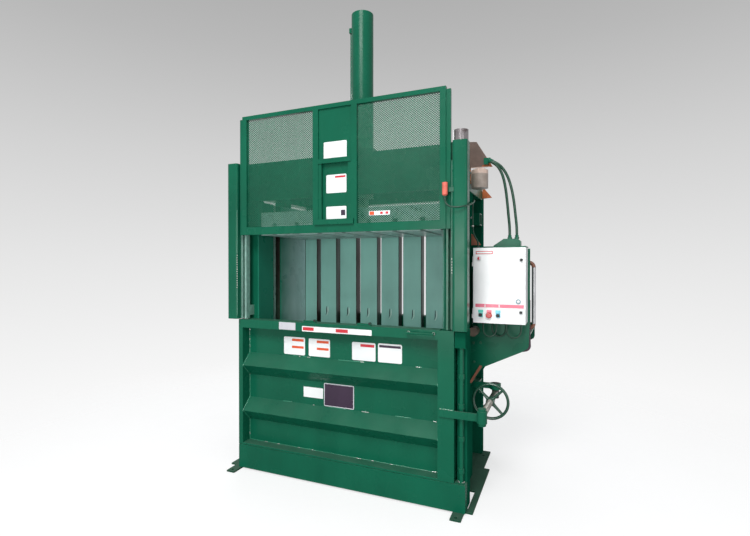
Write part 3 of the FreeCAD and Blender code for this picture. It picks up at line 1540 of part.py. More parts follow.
def interlock_switch():
    """Gate switch on an arm from the right guide tube, with a cable clip on the middle post."""
    x = guide_tube_inner - switch_in
    y = guide_tube_y - switch_front
    z0 = switch_z + switch_gap
    r = switch_r
    h = switch_height
    profile = [(0, 0), (r - switch_nose, 0), (r, switch_nose), (r, h), (0, h)]
    stem = faceted(x, y, switch_z, switch_gap, switch_gap, gland_sides)
    arm_y = guide_tube_y - switch_arm
    low = z0 + switch_arm_rise
    top = low + switch_arm_height
    arm = block(x - switch_arm_side, guide_tube_inner + switch_arm_reach, arm_y, guide_tube_y, low, top)
    e = switch_pad_edge
    pad = block(x - switch_pad, x + switch_pad, y + r - switch_pad_in, arm_y, low + e, top - e)
    pad = bored(pad, x, y, z0, r + seat_gap, h)
    clip = block(post_x, post_x + clip_reach, *clip_places, clip_z, clip_z + clip_height)
    return [joined(turned(profile, x, y, z0), stem), joined(arm, pad), clip]


def conduit_glands():
    """Glands under and on top of the control box."""
    pieces = []
    ends = [end for route in conduit_routes for end in (route[0], route[-1])]
    for x, y, z in ends:
        pieces.append(gland(x, y, z, box_bottom_z))
    x, y, z = interlock_route[-1]
    return pieces + [gland(x, y, box_top_z, z)]


def gland(x, y, z0, z1):
    """Faceted nut between a cable's end and the box."""
    return faceted(x, y, z0, gland_r, z1 - z0, gland_sides)


# ---------------------------------------------------------------- the nodes
def nodes():
    """Every sub-part under its name."""
    start, stop, lift = button_places
    conduits = [tube_along(route, conduit_r, cable_sides, "conduit") for route in conduit_routes]
    return {
        "base_plates": both_sides([base_plate()]),
        "base_front_beam": [base_front_beam()],
        "base_frame": base_frame(),
        "floor_strips": floor_strips(),
        "side_walls": side_walls(),
        "platen_guide_channels": platen_guide_channels(),
        "platen_guide_bars": platen_guide_bars(),
        "back_wall_panels": back_wall_panels(),
        "back_wall_beams": back_wall_beams(),
        "front_columns": front_columns(),
        "side_posts": side_posts(),
        "crosshead": crosshead(),
        "front_header": [front_header()],
        "guide_box_left": [mirrored(guide_box())],
        "guide_box_right": [guide_box()],
        "guide_box_cap": [guide_box_cap()],
        "gate_tracks": gate_tracks(),
        "counterweights": counterweights(),
        "gate_frame": gate_frame(),
        "gate_shoes": gate_shoes(),
        "gate_mesh": gate_mesh(),
        "gate_centre_panel": gate_centre_panel(),
        "platen_plate": [platen_plate()],
        "platen_pads": platen_pads(),
        "platen_shoes": platen_shoes(),
        "piston_rod": [piston_rod()],
        "rod_bolts": rod_bolts(),
        "cylinder_barrel": [cylinder_barrel()],
        "cylinder_cap": [cylinder_cap()],
        "cylinder_gland": [cylinder_gland()],
        "cylinder_pipe": [cylinder_pipe()],
        "flange_bolts": flange_bolts(),
        "door_skin": [door_skin()],
        "door_frame": door_frame(),
        "door_hinge_leaves": door_hinge_leaves(),
        "door_fittings": door_fittings(),
        "latch_arm": [latch_arm()],
        "frame_hinge_leaves": frame_hinge_leaves(),
        "latch_post": latch_post(),
        "latch_rod": latch_rod(),
        "latch_bracket": [latch_bracket()],
        "latch_bearing": [latch_bearing()],
        "latch_screw": [latch_screw()],
        "handwheel": [handwheel()],
        "control_box": control_box(),
        "control_gear": control_gear(),
        "control_box_door": control_box_door(),
        "panel_fittings": panel_fittings(),
        "start_button": [push_button(start, cap_r, cap_proud, cap_edge)],
        "stop_button": [push_button(stop, mushroom_r, mushroom_proud, mushroom_edge)],
        "raise_button": [push_button(lift, cap_r, cap_proud, cap_edge)],
        "key_switch": [turn_knob(key_x, key_z, 0)],
        "box_latch": [turn_knob(box_latch_x, box_latch_z, cam_reach)],
        "power_tray": power_tray(),
        "power_unit": oil_tank() + electric_motor() + [pump()],
        "hose_manifold": hose_manifold(),
        "side_fittings": side_gussets() + [valve_can(), junction_can(), return_pipe()] + conduit_glands(),
        "interlock_switch": interlock_switch(),
        "hydraulic_hoses": [
            tube_along(hose_a_route, hose_r, hose_sides, "hose a"),
            tube_along(hose_b_route, hose_r, hose_sides, "hose b"),
        ],
        "cables": [tube_along(interlock_route, cable_r, cable_sides, "interlock cable")] + conduits,
    }


def main():
    """Write one STEP file for each node."""
    for name, shapes in nodes().items():
        shape = shapes[0] if len(shapes) == 1 else Part.makeCompound(shapes)
        for solid in shapes:
            if not solid.isValid() or solid.Volume <= 0 or len(solid.Solids) != 1:
                print("bad solid in", name)
        shape.exportStep(os.path.join("parts", name + ".step"))


main()
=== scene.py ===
"""Studio view of a vertical stock baler: materials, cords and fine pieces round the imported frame.

Metres, in the frame of the model: X to the right, Y to the back, Z up, origin on the floor.
"""
import json
import math

import bmesh
import bpy
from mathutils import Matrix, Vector


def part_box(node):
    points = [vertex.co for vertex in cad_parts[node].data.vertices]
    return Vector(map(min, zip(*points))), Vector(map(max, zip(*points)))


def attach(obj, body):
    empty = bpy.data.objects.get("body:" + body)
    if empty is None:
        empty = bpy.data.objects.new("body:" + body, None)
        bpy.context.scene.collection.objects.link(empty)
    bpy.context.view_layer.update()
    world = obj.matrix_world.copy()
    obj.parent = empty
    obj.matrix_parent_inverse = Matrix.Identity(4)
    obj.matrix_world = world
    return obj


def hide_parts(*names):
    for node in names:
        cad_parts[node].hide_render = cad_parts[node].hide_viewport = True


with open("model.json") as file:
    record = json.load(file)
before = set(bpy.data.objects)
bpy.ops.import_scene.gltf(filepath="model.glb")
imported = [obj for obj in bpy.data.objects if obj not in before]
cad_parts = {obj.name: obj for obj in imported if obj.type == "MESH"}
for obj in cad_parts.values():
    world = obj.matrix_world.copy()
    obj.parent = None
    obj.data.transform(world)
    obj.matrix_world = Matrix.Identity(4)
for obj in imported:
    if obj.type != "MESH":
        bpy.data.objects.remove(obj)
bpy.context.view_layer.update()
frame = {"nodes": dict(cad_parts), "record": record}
NODES = frame["nodes"]
MM = 0.001                                       # metres in a millimetre

# ---------------- sizes shared with the model
DOOR_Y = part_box("base_front_beam")[0].y          # front plane of the door
DOOR_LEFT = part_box("door_frame")[0].x
DOOR_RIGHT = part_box("door_frame")[1].x
DOOR_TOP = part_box("door_skin")[1].z
SKIN_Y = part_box("door_skin")[0].y                # front face of the door skin
LEFT_STILE = 0.038
RIGHT_STILE = 0.110
RAIL_HEIGHT = 0.065
RIB_DROPS = (0.366, 0.728)
RIB_REACH = 0.127 / math.sqrt(2)

# ---------------- camera
CAMERA_PLACE = (1.5407, -3.3952, 1.6283)
CAMERA_TURN = (math.pi / 2 - 0.0068, 0.0, 0.3987)        # radians: nearly level, turned to the left
CAMERA_LENS = 21.869                                     # millimetres, on a sensor this wide
SENSOR_WIDTH = 36.0


def make_camera():
    """Camera at the photograph's place and angle."""
    data = bpy.data.cameras.new("camera")
    data.lens = CAMERA_LENS
    data.sensor_width = SENSOR_WIDTH
    data.sensor_fit = "HORIZONTAL"
    camera = bpy.data.objects.new("camera", data)
    camera.location = CAMERA_PLACE
    camera.rotation_euler = CAMERA_TURN
    bpy.context.scene.collection.objects.link(camera)
    bpy.context.scene.camera = camera


make_camera()
bpy.context.scene.view_settings.view_transform = "Standard"


# ---------------- material helpers
class Recipe:
    """A node tree under construction, for a material or the world: adds nodes and links by name."""

    def __init__(self, owner):
        self.owner = owner
        owner.use_nodes = True
        self.tree = owner.node_tree
        self.tree.nodes.clear()
        self.places = self.add("TexCoord").outputs
        self.place = self.places["Object"]

    def add(self, kind, inputs=None, **settings):
        """A node with its settings, and its sockets set to values or linked to outputs."""
        made = self.tree.nodes.new("ShaderNode" + kind)
        for key, value in settings.items():
            setattr(made, key, value)
        for key, value in (inputs or {}).items():
            if isinstance(value, bpy.types.NodeSocket):
                self.tree.links.new(value, made.inputs[key])
            else:
                made.inputs[key].default_value = value
        return made

    def noise(self, scale, detail=3.0, stretch=(1, 1, 1)):
        """Noise value over the object's own coordinates."""
        moved = self.add("Mapping", {"Vector": self.place, "Scale": stretch}).outputs["Vector"]
        inputs = {"Vector": moved, "Scale": scale, "Detail": detail}
        return self.add("TexNoise", inputs).outputs["Fac"]

    def split(self, vector):
        """The X, Y and Z outputs of a vector."""
        return self.add("SeparateXYZ", {"Vector": vector}).outputs

    def facing(self):
        """X, Y and Z of the true normal of the face."""
        return self.split(self.add("NewGeometry").outputs["Normal"])

    def softened(self, radius):
        """Normal rounded over the edges."""
        return self.add("Bevel", {"Radius": radius}, samples=4).outputs["Normal"]

    def spread(self, value, low, high, to_low=0.0, to_high=1.0):
        """A value stretched from one range to another, held at the ends."""
        inputs = {"Value": value, "From Min": low, "From Max": high, "To Min": to_low, "To Max": to_high}
        return self.add("MapRange", inputs).outputs["Result"]

    def math(self, operation, a, b=0.0):
        """Plain arithmetic."""
        return self.add("Math", {0: a, 1: b}, operation=operation).outputs["Value"]

    def mix(self, factor, a, b):
        """Colour b over colour a; the numbers are the sockets that the node has for colours."""
        return self.add("Mix", {0: factor, 6: a, 7: b}, data_type="RGBA").outputs[2]

    def worn_edges(self, radius):
        """1 along sharp outer and inner edges, broken up by noise."""
        flat = self.add("NewGeometry").outputs["Normal"]
        ends = {0: self.softened(radius), 1: flat}
        match = self.add("VectorMath", ends, operation="DOT_PRODUCT").outputs["Value"]
        edge = self.spread(match, 0.80, 0.985, 1.0, 0.0)
        return self.math("MULTIPLY", edge, self.spread(self.noise(34, 5), 0.38, 0.62))

    def bumped(self, height, strength, distance, normal=None):
        """Normal after a bump."""
        inputs = {"Height": height, "Strength": strength, "Distance": distance}
        if normal is not None:
            inputs["Normal"] = normal
        return self.add("Bump", inputs).outputs["Normal"]

    def finish(self, **inputs):
        """Closes the recipe with its shader."""
        names = {
            "colour": "Base Color",
            "metallic": "Metallic",
            "roughness": "Roughness",
            "normal": "Normal",
            "coat": "Coat Weight",
            "coat_roughness": "Coat Roughness",
            "specular": "Specular IOR Level",
        }
        shader = self.add("BsdfPrincipled", {names[key]: value for key, value in inputs.items()})
        self.add("OutputMaterial", {"Surface": shader.outputs["BSDF"]})
        return self.owner


def recipe(name):
    """Recipe of a new material."""
    return Recipe(bpy.data.materials.new(name))


def linear(red, green, blue):
    """Linear colour from display values of 0 to 255."""
    def channel(value):
        value /= 255
        return value / 12.92 if value <= 0.04045 else ((value + 0.055) / 1.055) ** 2.4
    return (channel(red), channel(green), channel(blue), 1.0)


def shade(colour, factor):
    """The colour made lighter or darker."""
    return tuple(min(1.0, c * factor) for c in colour[:3]) + (1.0,)


def shaded_sideways_faces(r):
    """1 on faces that look along X, where the panels get painted shade."""
    facing = r.facing()["X"]
    return r.math("GREATER_THAN", r.math("MULTIPLY", facing, facing), 0.4)


CHANNEL_MIDDLE = (0.79, -0.100)          # upright middle line of the right guide channel, in plan


def channel_recess_shade(r):
    """1 on the faces inside a guide channel, on either side of the machine, where the paint gets painted
    shade.
    """
    place, facing = r.split(r.place), r.facing()
    middle_x, middle_y = CHANNEL_MIDDLE
    side = r.math("SIGN", place["X"])
    out = r.math("SUBTRACT", r.math("MULTIPLY", place["X"], side), middle_x)
    across = r.math("MULTIPLY", out, r.math("MULTIPLY", facing["X"], side))
    along = r.math("MULTIPLY", r.math("SUBTRACT", place["Y"], middle_y), facing["Y"])
    return r.math("LESS_THAN", r.math("ADD", across, along), 0.0)


def sheen_inner_rear(r):
    """1 on the inner faces of the chamber towards the back, 0 in front and outside; these faces get painted
    sheen.
    """
    place = r.split(r.place)
    outward = r.math("MULTIPLY", place["X"], r.facing()["X"])
    ragged = r.math("ADD", place["Y"], r.spread(r.noise(3, 3), 0.2, 0.8, -0.06, 0.06))
    return r.math("MULTIPLY", r.math("LESS_THAN", outward, 0.0), r.spread(ragged, -0.08, 0.30))


# pale tone of upward faces: settled dirt, and also painted sheen
DUST_SHEEN = linear(176, 186, 176)


def painted(name, colour, rough=0.25, wear=None, dust_sheen=0.12, coat=0.0, peel=0.05, shine=0.17, edge=0.003,
            tint=None):
    """Brushed or sprayed machine enamel: cloudy tone, orange peel, worn edges, tops paled by dirt and by
    painted sheen.

    A tint is a mask and the colour of the faces that it picks.
    """
    r = recipe(name)
    cloud = r.spread(r.noise(2.2, 4), 0.35, 0.65)
    tone = r.mix(cloud, shade(colour, 0.90), shade(colour, 1.10))
    if tint:
        mask, other = tint
        tone = r.mix(mask(r), tone, other)
    streak = r.spread(r.noise(9, 4, (1, 1, 0.12)), 0.42, 0.70)
    tone = r.mix(r.math("MULTIPLY", streak, 0.25), tone, shade(colour, 1.35))
    speck = r.spread(r.noise(160, 2), 0.70, 0.76)
    tone = r.mix(r.math("MULTIPLY", speck, 0.35), tone, shade(colour, 0.55))
    worn = r.worn_edges(edge)
    tone = r.mix(r.math("MULTIPLY", worn, 0.75), tone, wear or shade(colour, 1.9))
    # upward faces paled towards that tone and roughened: dirt, and painted sheen where tops catch the light
    level = r.spread(r.facing()["Z"], 0.55, 0.95)
    dust_sheen_layer = r.math("MULTIPLY", level, r.spread(r.noise(6, 5), 0.25, 0.75, 0.3, 1.0))
    tone = r.mix(r.math("MULTIPLY", dust_sheen_layer, dust_sheen), tone, DUST_SHEEN)
    patchy = r.spread(r.noise(5, 3), 0.3, 0.7, rough - 0.06, rough + 0.08)
    roughness = r.math("ADD", patchy, r.math("MULTIPLY", dust_sheen_layer, 0.3))
    wavy = r.bumped(r.noise(5, 2), 0.25, 0.004, r.softened(0.0015))
    fine = r.bumped(r.noise(420, 2), peel, 0.0006, wavy)
    return r.finish(colour=tone, roughness=roughness, normal=fine, coat=coat, coat_roughness=0.12,
                    specular=shine)


def vinyl(name, colour):
    """Printed film: even colour with a soft sheen."""
    return painted(name, colour, rough=0.3, wear=shade(colour, 0.9), dust_sheen=0.0, peel=0.02, shine=0.4,
                   edge=0.0004)


def zoned(name, base, zones, bump=0.08):
    """One node's pieces in their own finishes, told apart by where they are.

    A finish is (colour, roughness, metallic); a zone adds a box as (x0, x1), (y0, y1), (z0, z1).
    """
    r = recipe(name)
    place = r.split(r.place)
    cloud = r.spread(r.noise(26, 5), 0.35, 0.68)
    colour, rough, metal = base
    tone = r.mix(cloud, shade(colour, 0.78), shade(colour, 1.18))
    for (zone_colour, zone_rough, zone_metal), box in zones:
        inside = 1.0
        for axis, (low, high) in zip("XYZ", box):
            above = r.math("GREATER_THAN", place[axis], low)
            below = r.math("LESS_THAN", place[axis], high)
            inside = r.math("MULTIPLY", r.math("MULTIPLY", above, below), inside)
        tone = r.mix(inside, tone, r.mix(cloud, shade(zone_colour, 0.82), shade(zone_colour, 1.14)))
        rough = r.spread(inside, 0.0, 1.0, rough, zone_rough)
        metal = r.spread(inside, 0.0, 1.0, metal, zone_metal)
    normal = r.bumped(r.noise(180, 4), bump, 0.0006, r.softened(0.001))
    return r.finish(colour=tone, roughness=rough, metallic=metal, normal=normal)


def bare_metal(name, colour, rough=0.32, grain=(1, 1, 0.05), stain=None):
    """Ground or worn steel with a grain and faint stains."""
    r = recipe(name)
    lines = r.noise(220, 3, grain)
    cloud = r.spread(r.noise(14, 5), 0.35, 0.70)
    tone = r.mix(cloud, shade(colour, 0.82), shade(colour, 1.12))
    if stain:
        spots = r.spread(r.noise(38, 6), 0.56, 0.68)
        tone = r.mix(r.math("MULTIPLY", spots, 0.7), tone, stain)
    roughness = r.spread(lines, 0.3, 0.7, rough - 0.08, rough + 0.14)
    normal = r.bumped(lines, 0.10, 0.0004, r.softened(0.001))
    return r.finish(colour=tone, metallic=0.92, roughness=roughness, normal=normal)


def moulded(name, colour, rough=0.45, grain=700, coat=0.0):
    """Moulded plastic or rubber with a fine grain and scuffs."""
    r = recipe(name)
    cloud = r.spread(r.noise(30, 4), 0.35, 0.70)
    tone = r.mix(cloud, shade(colour, 0.88), shade(colour, 1.16))
    edge = r.worn_edges(0.0012)
    tone = r.mix(r.math("MULTIPLY", edge, 0.35), tone, shade(colour, 1.8))
    roughness = r.spread(r.noise(60, 3), 0.3, 0.7, rough - 0.08, rough + 0.10)
    normal = r.bumped(r.noise(grain, 2), 0.10, 0.0003, r.softened(0.0008))
    return r.finish(colour=tone, roughness=roughness, normal=normal, coat=coat, coat_roughness=0.1)


# ---------------- finishes
GREEN = linear(15, 92, 68)
# pale copy of the green paint: painted sheen
SHEEN_GREEN = linear(134, 188, 176)
TEAL = linear(88, 196, 186)
CYAN = linear(96, 190, 214)
PINK = linear(226, 112, 134)

PAINT = painted("green_enamel", GREEN)
# the green made pale all over: painted sheen
PAINT_SHEEN = painted("sheen_enamel", SHEEN_GREEN, rough=0.38, dust_sheen=0.1)
# pale copy of the green as painted sheen; flanks facing the slots between panels dark as painted shade
PANEL_SHEEN_SHADE = painted("panel_sheen_shade", linear(142, 196, 184), rough=0.34, dust_sheen=0.1,
                      tint=(shaded_sideways_faces, linear(52, 44, 38)))
# pale copy of the green on the platen: painted sheen
PAINT_PLATEN_SHEEN = painted("platen_sheen_enamel", linear(190, 216, 210), rough=0.3, dust_sheen=0.1, shine=0.3)
# inner faces towards the back pale: painted sheen
PAINT_WALL = painted("wall_enamel", linear(20, 104, 82), rough=0.3, dust_sheen=0.1, shine=0.3,
                     tint=(sheen_inner_rear, linear(204, 224, 226)))
# faces inside the guide channels dark: painted shade in the recess
PAINT_CHANNEL = painted("channel_enamel", GREEN, tint=(channel_recess_shade, linear(54, 50, 46)))
PAINT_MESH = painted("mesh_enamel", linear(26, 96, 72), rough=0.26, dust_sheen=0.0, shine=0.3)
# darker copy of the green with no reflection, for the side-facing parts: painted shade
PAINT_SIDE_SHADED = painted("side_shade_enamel", linear(14, 84, 62), rough=0.5, shine=0.0)
PAINT_WORN = painted("worn_green_enamel", linear(22, 88, 64), rough=0.42, wear=linear(170, 172, 165))
PAINT_WHEEL = painted("wheel_enamel", linear(14, 70, 50), rough=0.2, wear=linear(120, 150, 138), dust_sheen=0.04,
                      shine=0.8)
PAINT_FLOOR = painted("base_enamel", linear(20, 74, 54), rough=0.5, wear=linear(150, 146, 136), dust_sheen=0.1)
# pale lip of the wire tabs: painted highlight
PAINT_TAB_HIGHLIGHT = painted("tab_highlight_enamel", linear(205, 232, 222), rough=0.26, shine=0.6, dust_sheen=0.0)
STEEL = bare_metal("ground_steel", linear(196, 196, 192))
STEEL_DULL = bare_metal("dull_steel", linear(150, 148, 142), rough=0.42, stain=linear(110, 84, 62))
GRIMY = bare_metal("grimy_steel", linear(176, 176, 174), rough=0.34, grain=(1, 1, 0.03),
                   stain=linear(24, 24, 24))
SLEEVE = bare_metal("sleeve_steel", linear(158, 152, 154), rough=0.2, stain=linear(96, 80, 78))
WELD = painted("painted_weld", linear(44, 126, 98), rough=0.14, shine=1.0, dust_sheen=0.0,
               wear=linear(190, 206, 196))
# bare weld metal, also placed as painted glints on the door and the guide seams
WELD_BARE_GLINT = bare_metal("bare_weld_and_glint", linear(206, 210, 204), rough=0.3)
WHITE_COAT = painted("white_powder_coat", linear(246, 248, 248), rough=0.36, wear=linear(205, 208, 208),
                     dust_sheen=0.08, coat=0.1, peel=0.12, edge=0.0012)
GREY_COAT = painted("grey_coat", linear(150, 148, 138), rough=0.45, dust_sheen=0.2, coat=0.1)
BLACK = moulded("black_plastic", linear(30, 30, 32))
RED = moulded("red_plastic", linear(196, 34, 30), rough=0.28, coat=0.4)
HOSE = moulded("hose_rubber", linear(18, 66, 46), rough=0.36, grain=350)
JACKET = moulded("cable_jacket", linear(12, 62, 44), rough=0.4, grain=500)
# dark tube on the tray's outer corner: painted shade
EDGE_SHADE_DARK = moulded("edge_painted_shade", linear(62, 42, 54), rough=0.6, grain=400)
PRIMED = moulded("primed_steel", linear(150, 92, 70), rough=0.6, grain=140)
RING = moulded("ring_plastic", linear(70, 128, 140), rough=0.3, grain=500, coat=0.3)
LEGEND_TEAL = moulded("legend_teal", linear(92, 214, 196), rough=0.35, coat=0.2)
LEGEND_PINK = moulded("legend_pink", linear(236, 130, 150), rough=0.35, coat=0.2)
LEGEND_CYAN = moulded("legend_cyan", linear(110, 206, 226), rough=0.35, coat=0.2)
VINYL = vinyl("vinyl_white", linear(240, 242, 242))
VINYL_GREY = vinyl("vinyl_grey", linear(200, 200, 206))
VINYL_RED = vinyl("vinyl_red", linear(206, 52, 62))
VINYL_ORANGE = vinyl("vinyl_orange", linear(222, 88, 48))
VINYL_DARK = vinyl("vinyl_dark", linear(58, 42, 62))
VINYL_PINK = vinyl("vinyl_pink", linear(226, 116, 136))

# colour, roughness and metallic share of the finishes inside a zoned material
RUST = (linear(186, 100, 52), 0.7, 0.0)
UMBER = (linear(98, 78, 68), 0.6, 0.0)
# pale steel of the left track: wear, and painted highlight
WORN_SHEEN = (linear(150, 188, 176), 0.28, 0.5)
TAUPE = (linear(112, 96, 84), 0.5, 0.0)
STONE = (linear(158, 144, 134), 0.36, 0.0)
GALVANISED = (linear(168, 168, 170), 0.34, 0.8)
BROWN = (linear(128, 84, 66), 0.5, 0.1)
DARK = (linear(34, 40, 36), 0.5, 0.0)
ENAMEL = (GREEN, 0.36, 0.0)
EVERY = (-9.0, 9.0)

FITTINGS = zoned("side_fittings", RUST, (
    (UMBER, ((0.80, 0.985), (0.03, 0.08), (2.37, 2.60))),
    (UMBER, ((0.80, 0.955), (0.03, 0.08), (2.34, 2.60))),
    (STONE, ((0.875, 1.01), (-0.02, 0.13), (2.19, 2.36))),
    # lighter top band of the canister: painted highlight
    ((linear(208, 182, 168), 0.3, 0.0), ((0.875, 1.01), (-0.02, 0.13), (2.306, 2.36))),
    (TAUPE, ((0.87, 0.95), (-0.07, 0.05), (1.09, 1.18))),
    (GALVANISED, ((1.262, 1.36), (0.08, 0.14), (1.20, 1.61))),
    (BROWN, ((1.262, 1.36), (0.08, 0.14), (1.61, 1.70))),
    (BROWN, ((1.262, 1.36), (0.08, 0.14), (1.10, 1.20))),
    (DARK, ((0.93, 1.26), (-0.10, 0.03), (1.20, 1.222))),
    (DARK, ((0.92, 0.97), (-0.05, 0.01), (1.747, 1.78))),
))
SWITCH = zoned("interlock_switch", ENAMEL, (
    ((linear(222, 108, 92), 0.42, 0.0), ((0.80, 0.838), (-0.56, -0.511), (2.070, 2.16))),
    ((linear(186, 190, 190), 0.3, 0.9), (EVERY, (0.0, 0.1), EVERY)),
))
# left track's strip pale: worn steel, and painted highlight; the right track stays green
TRACKS = zoned("gate_tracks", ENAMEL, (
    (WORN_SHEEN, ((-1.0, 0.0), EVERY, (1.20, 1.93))),
))
PANEL = zoned("panel_fittings", DARK, (
    ((linear(206, 40, 60), 0.22, 0.0), ((0.95, 0.9735), (-0.175, -0.1627), (1.65, 1.70))),
    ((linear(240, 214, 218), 0.22, 0.0), ((0.9735, 0.99), (-0.175, -0.1627), (1.65, 1.70))),
    ((linear(232, 236, 236), 0.4, 0.0), ((0.95, 0.99), (-0.1627, -0.158), (1.65, 1.70))),
    ((TEAL, 0.4, 0.0), ((0.96, 1.01), (-0.165, -0.158), (1.25, 1.31))),
    ((PINK, 0.4, 0.0), ((1.02, 1.07), (-0.165, -0.158), (1.25, 1.31))),
    ((CYAN, 0.4, 0.0), ((1.08, 1.13), (-0.165, -0.158), (1.25, 1.31))),
    ((linear(206, 210, 210), 0.35, 0.2), ((1.23, 1.29), (-0.165, -0.158), EVERY)),
), bump=0.03)

# which finish each record slot gets
SLOT_FINISH = {
    "paint": PAINT,
    "paint_pale": PAINT_SHEEN,
    "bare_steel": STEEL,
    "primer": FITTINGS,
    "box_white": WHITE_COAT,
    "grey_paint": GREY_COAT,
    "black_plastic": BLACK,
    "red_plastic": RED,
    "salmon": SWITCH,
    "hose_rubber": HOSE,
    "cable_jacket": JACKET,
}
# nodes whose look differs from their slot's finish
NODE_FINISH = {
    "handwheel": PAINT_WORN,
    "latch_screw": STEEL_DULL,
    "latch_rod": PAINT,
    "latch_bearing": BLACK,
    "gate_tracks": TRACKS,
    "platen_guide_bars": GRIMY,
    "platen_guide_channels": PAINT_CHANNEL,
    "platen_plate": PAINT_PLATEN_SHEEN,
    "platen_pads": PAINT_PLATEN_SHEEN,
    "back_wall_panels": PANEL_SHEEN_SHADE,
    "cylinder_pipe": PAINT,
    "base_plates": PAINT_FLOOR,
    "front_columns": PAINT_SIDE_SHADED,
    "side_posts": PAINT_SIDE_SHADED,
    "latch_post": PAINT_SIDE_SHADED,
    "guide_box_cap": SLEEVE,
    "side_walls": PAINT_WALL,
    "panel_fittings": PANEL,
}


def dress(obj, material):
    """Gives an object one material in every slot."""
    slots = obj.material_slots
    if not slots:
        obj.data.materials.append(material)
    for item in slots:
        item.material = material


def dress_nodes():
    """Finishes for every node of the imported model."""
    for row in frame["record"]["subparts"]:
        name = row["node"]
        dress(NODES[name], NODE_FINISH.get(name, SLOT_FINISH[row["material_slot"]]))


dress_nodes()


# ---------------- piece helpers
def add_piece(name, data, body, material):
    """A new piece that rides on a body and takes a finish."""
    piece = bpy.data.objects.new(name, data)
    bpy.context.scene.collection.objects.link(piece)
    data.materials.append(material)
    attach(piece, body)
    return piece


def mesh_from(name, verts, faces, smooth=False):
    """Mesh data from plain lists."""
    data = bpy.data.meshes.new(name)
    data.from_pydata(verts, [], faces)
    data.update()
    if smooth:
        data.shade_smooth()
    return data


# ---------------- shape helpers
def round_points(middle, side, up, radius, sides, flat=1.0):
    """Points round a centre, in the plane of two directions."""
    turns = [2 * math.pi * k / sides for k in range(sides)]
    return [middle + side * (radius * math.cos(t)) + up * (radius * flat * math.sin(t)) for t in turns]


def arc(u, v, radius, start, turn, steps):
    """Flat points on an arc, from an angle and through a turn in degrees."""
    angles = [math.radians(start + turn * i / steps) for i in range(steps + 1)]
    return [(u + radius * math.cos(a), v + radius * math.sin(a)) for a in angles]


SOFT_EDGE = 0.0004                       # rounding of a plate's front edge


class Shape:
    """Mesh built from plates, turned profiles and tubes; each face names one of its materials."""

    def __init__(self):
        self.verts = []
        self.faces = []
        self.marks = []

    def rings(self, rings, mark=0, closed=False):
        """Skin over rings of points that all have the same count, with capped ends unless closed."""
        n = len(rings[0])
        start = len(self.verts)
        faces = []
        for i in range(len(rings) if closed else len(rings) - 1):
            a, b = start + i * n, start + (i + 1) % len(rings) * n
            for k in range(n):
                j = (k + 1) % n
                faces.append((a + k, a + j, b + j, b + k))
        if not closed:
            last = start + (len(rings) - 1) * n
            faces.append(tuple(start + k for k in reversed(range(n))))
            faces.append(tuple(last + k for k in range(n)))
        self.verts += [tuple(point) for ring in rings for point in ring]
        self.faces += faces
        self.marks += [mark] * len(faces)

    def turned(self, profile, centre, axis, sides=32, mark=0, closed=False):
        """Profile of (radius, distance along the axis) turned about the axis."""
        axis = Vector(axis).normalized()
        across = axis.orthogonal().normalized()
        up = axis.cross(across)
        rings = [round_points(Vector(centre) + axis * d, across, up, r, sides) for r, d in profile]
        self.rings(rings, mark, closed)

    def tube(self, path, radii, sides=10, mark=0, closed=False, flat=1.0):
        """Round or flattened bar along a path, with one radius or one for each point."""
        path = [Vector(p) for p in path]
        n = len(path)
        if isinstance(radii, float):
            radii = [radii] * n
        rings = []
        side = None
        for i, point in enumerate(path):
            ahead = path[(i + 1) % n] if closed else path[min(i + 1, n - 1)]
            behind = path[i - 1] if closed else path[max(i - 1, 0)]
            along = (ahead - behind).normalized()
            if side is None:
                side = along.orthogonal()
            side = (side - along * side.dot(along)).normalized()
            rings.append(round_points(point, side, along.cross(side), radii[i], sides, flat))
        self.rings(rings, mark, closed)

    def plate(self, x0, x1, z0, z1, back, front, corner, mark=0):
        """Upright plate with rounded corners and a softened front edge, front towards -Y."""
        soft = min(SOFT_EDGE, abs(back - front) * 0.5)
        outline = []
        for cx, cz, start in ((x1, z1, 0), (x0, z1, 90), (x0, z0, 180), (x1, z0, 270)):
            mid_x = cx - corner if cx == x1 else cx + corner
            mid_z = cz - corner if cz == z1 else cz + corner
            for step in range(5):
                angle = math.radians(start + step * 22.5)
                outline.append((mid_x, mid_z, math.cos(angle), math.sin(angle)))
        rings = []
        for y, r in ((back, corner), (front + soft, corner), (front, corner - soft)):
            rings.append([(x + r * c, y, z + r * sn) for x, z, c, sn in outline])
        self.rings(rings, mark)

    def piece(self, name, body, materials, slot_name="paint", sharp=32):
        """The finished piece, smooth but for edges over an angle."""
        data = mesh_from(name, self.verts, self.faces, smooth=True)
        data.polygons.foreach_set("material_index", self.marks)
        work = bmesh.new()
        work.from_mesh(data)
        bmesh.ops.recalc_face_normals(work, faces=work.faces)
        work.to_mesh(data)
        work.free()
        data.set_sharp_from_angle(angle=math.radians(sharp))
        obj = add_piece(name, data, body, materials[0])
        for material in materials[1:]:
            data.materials.append(material)
        return obj


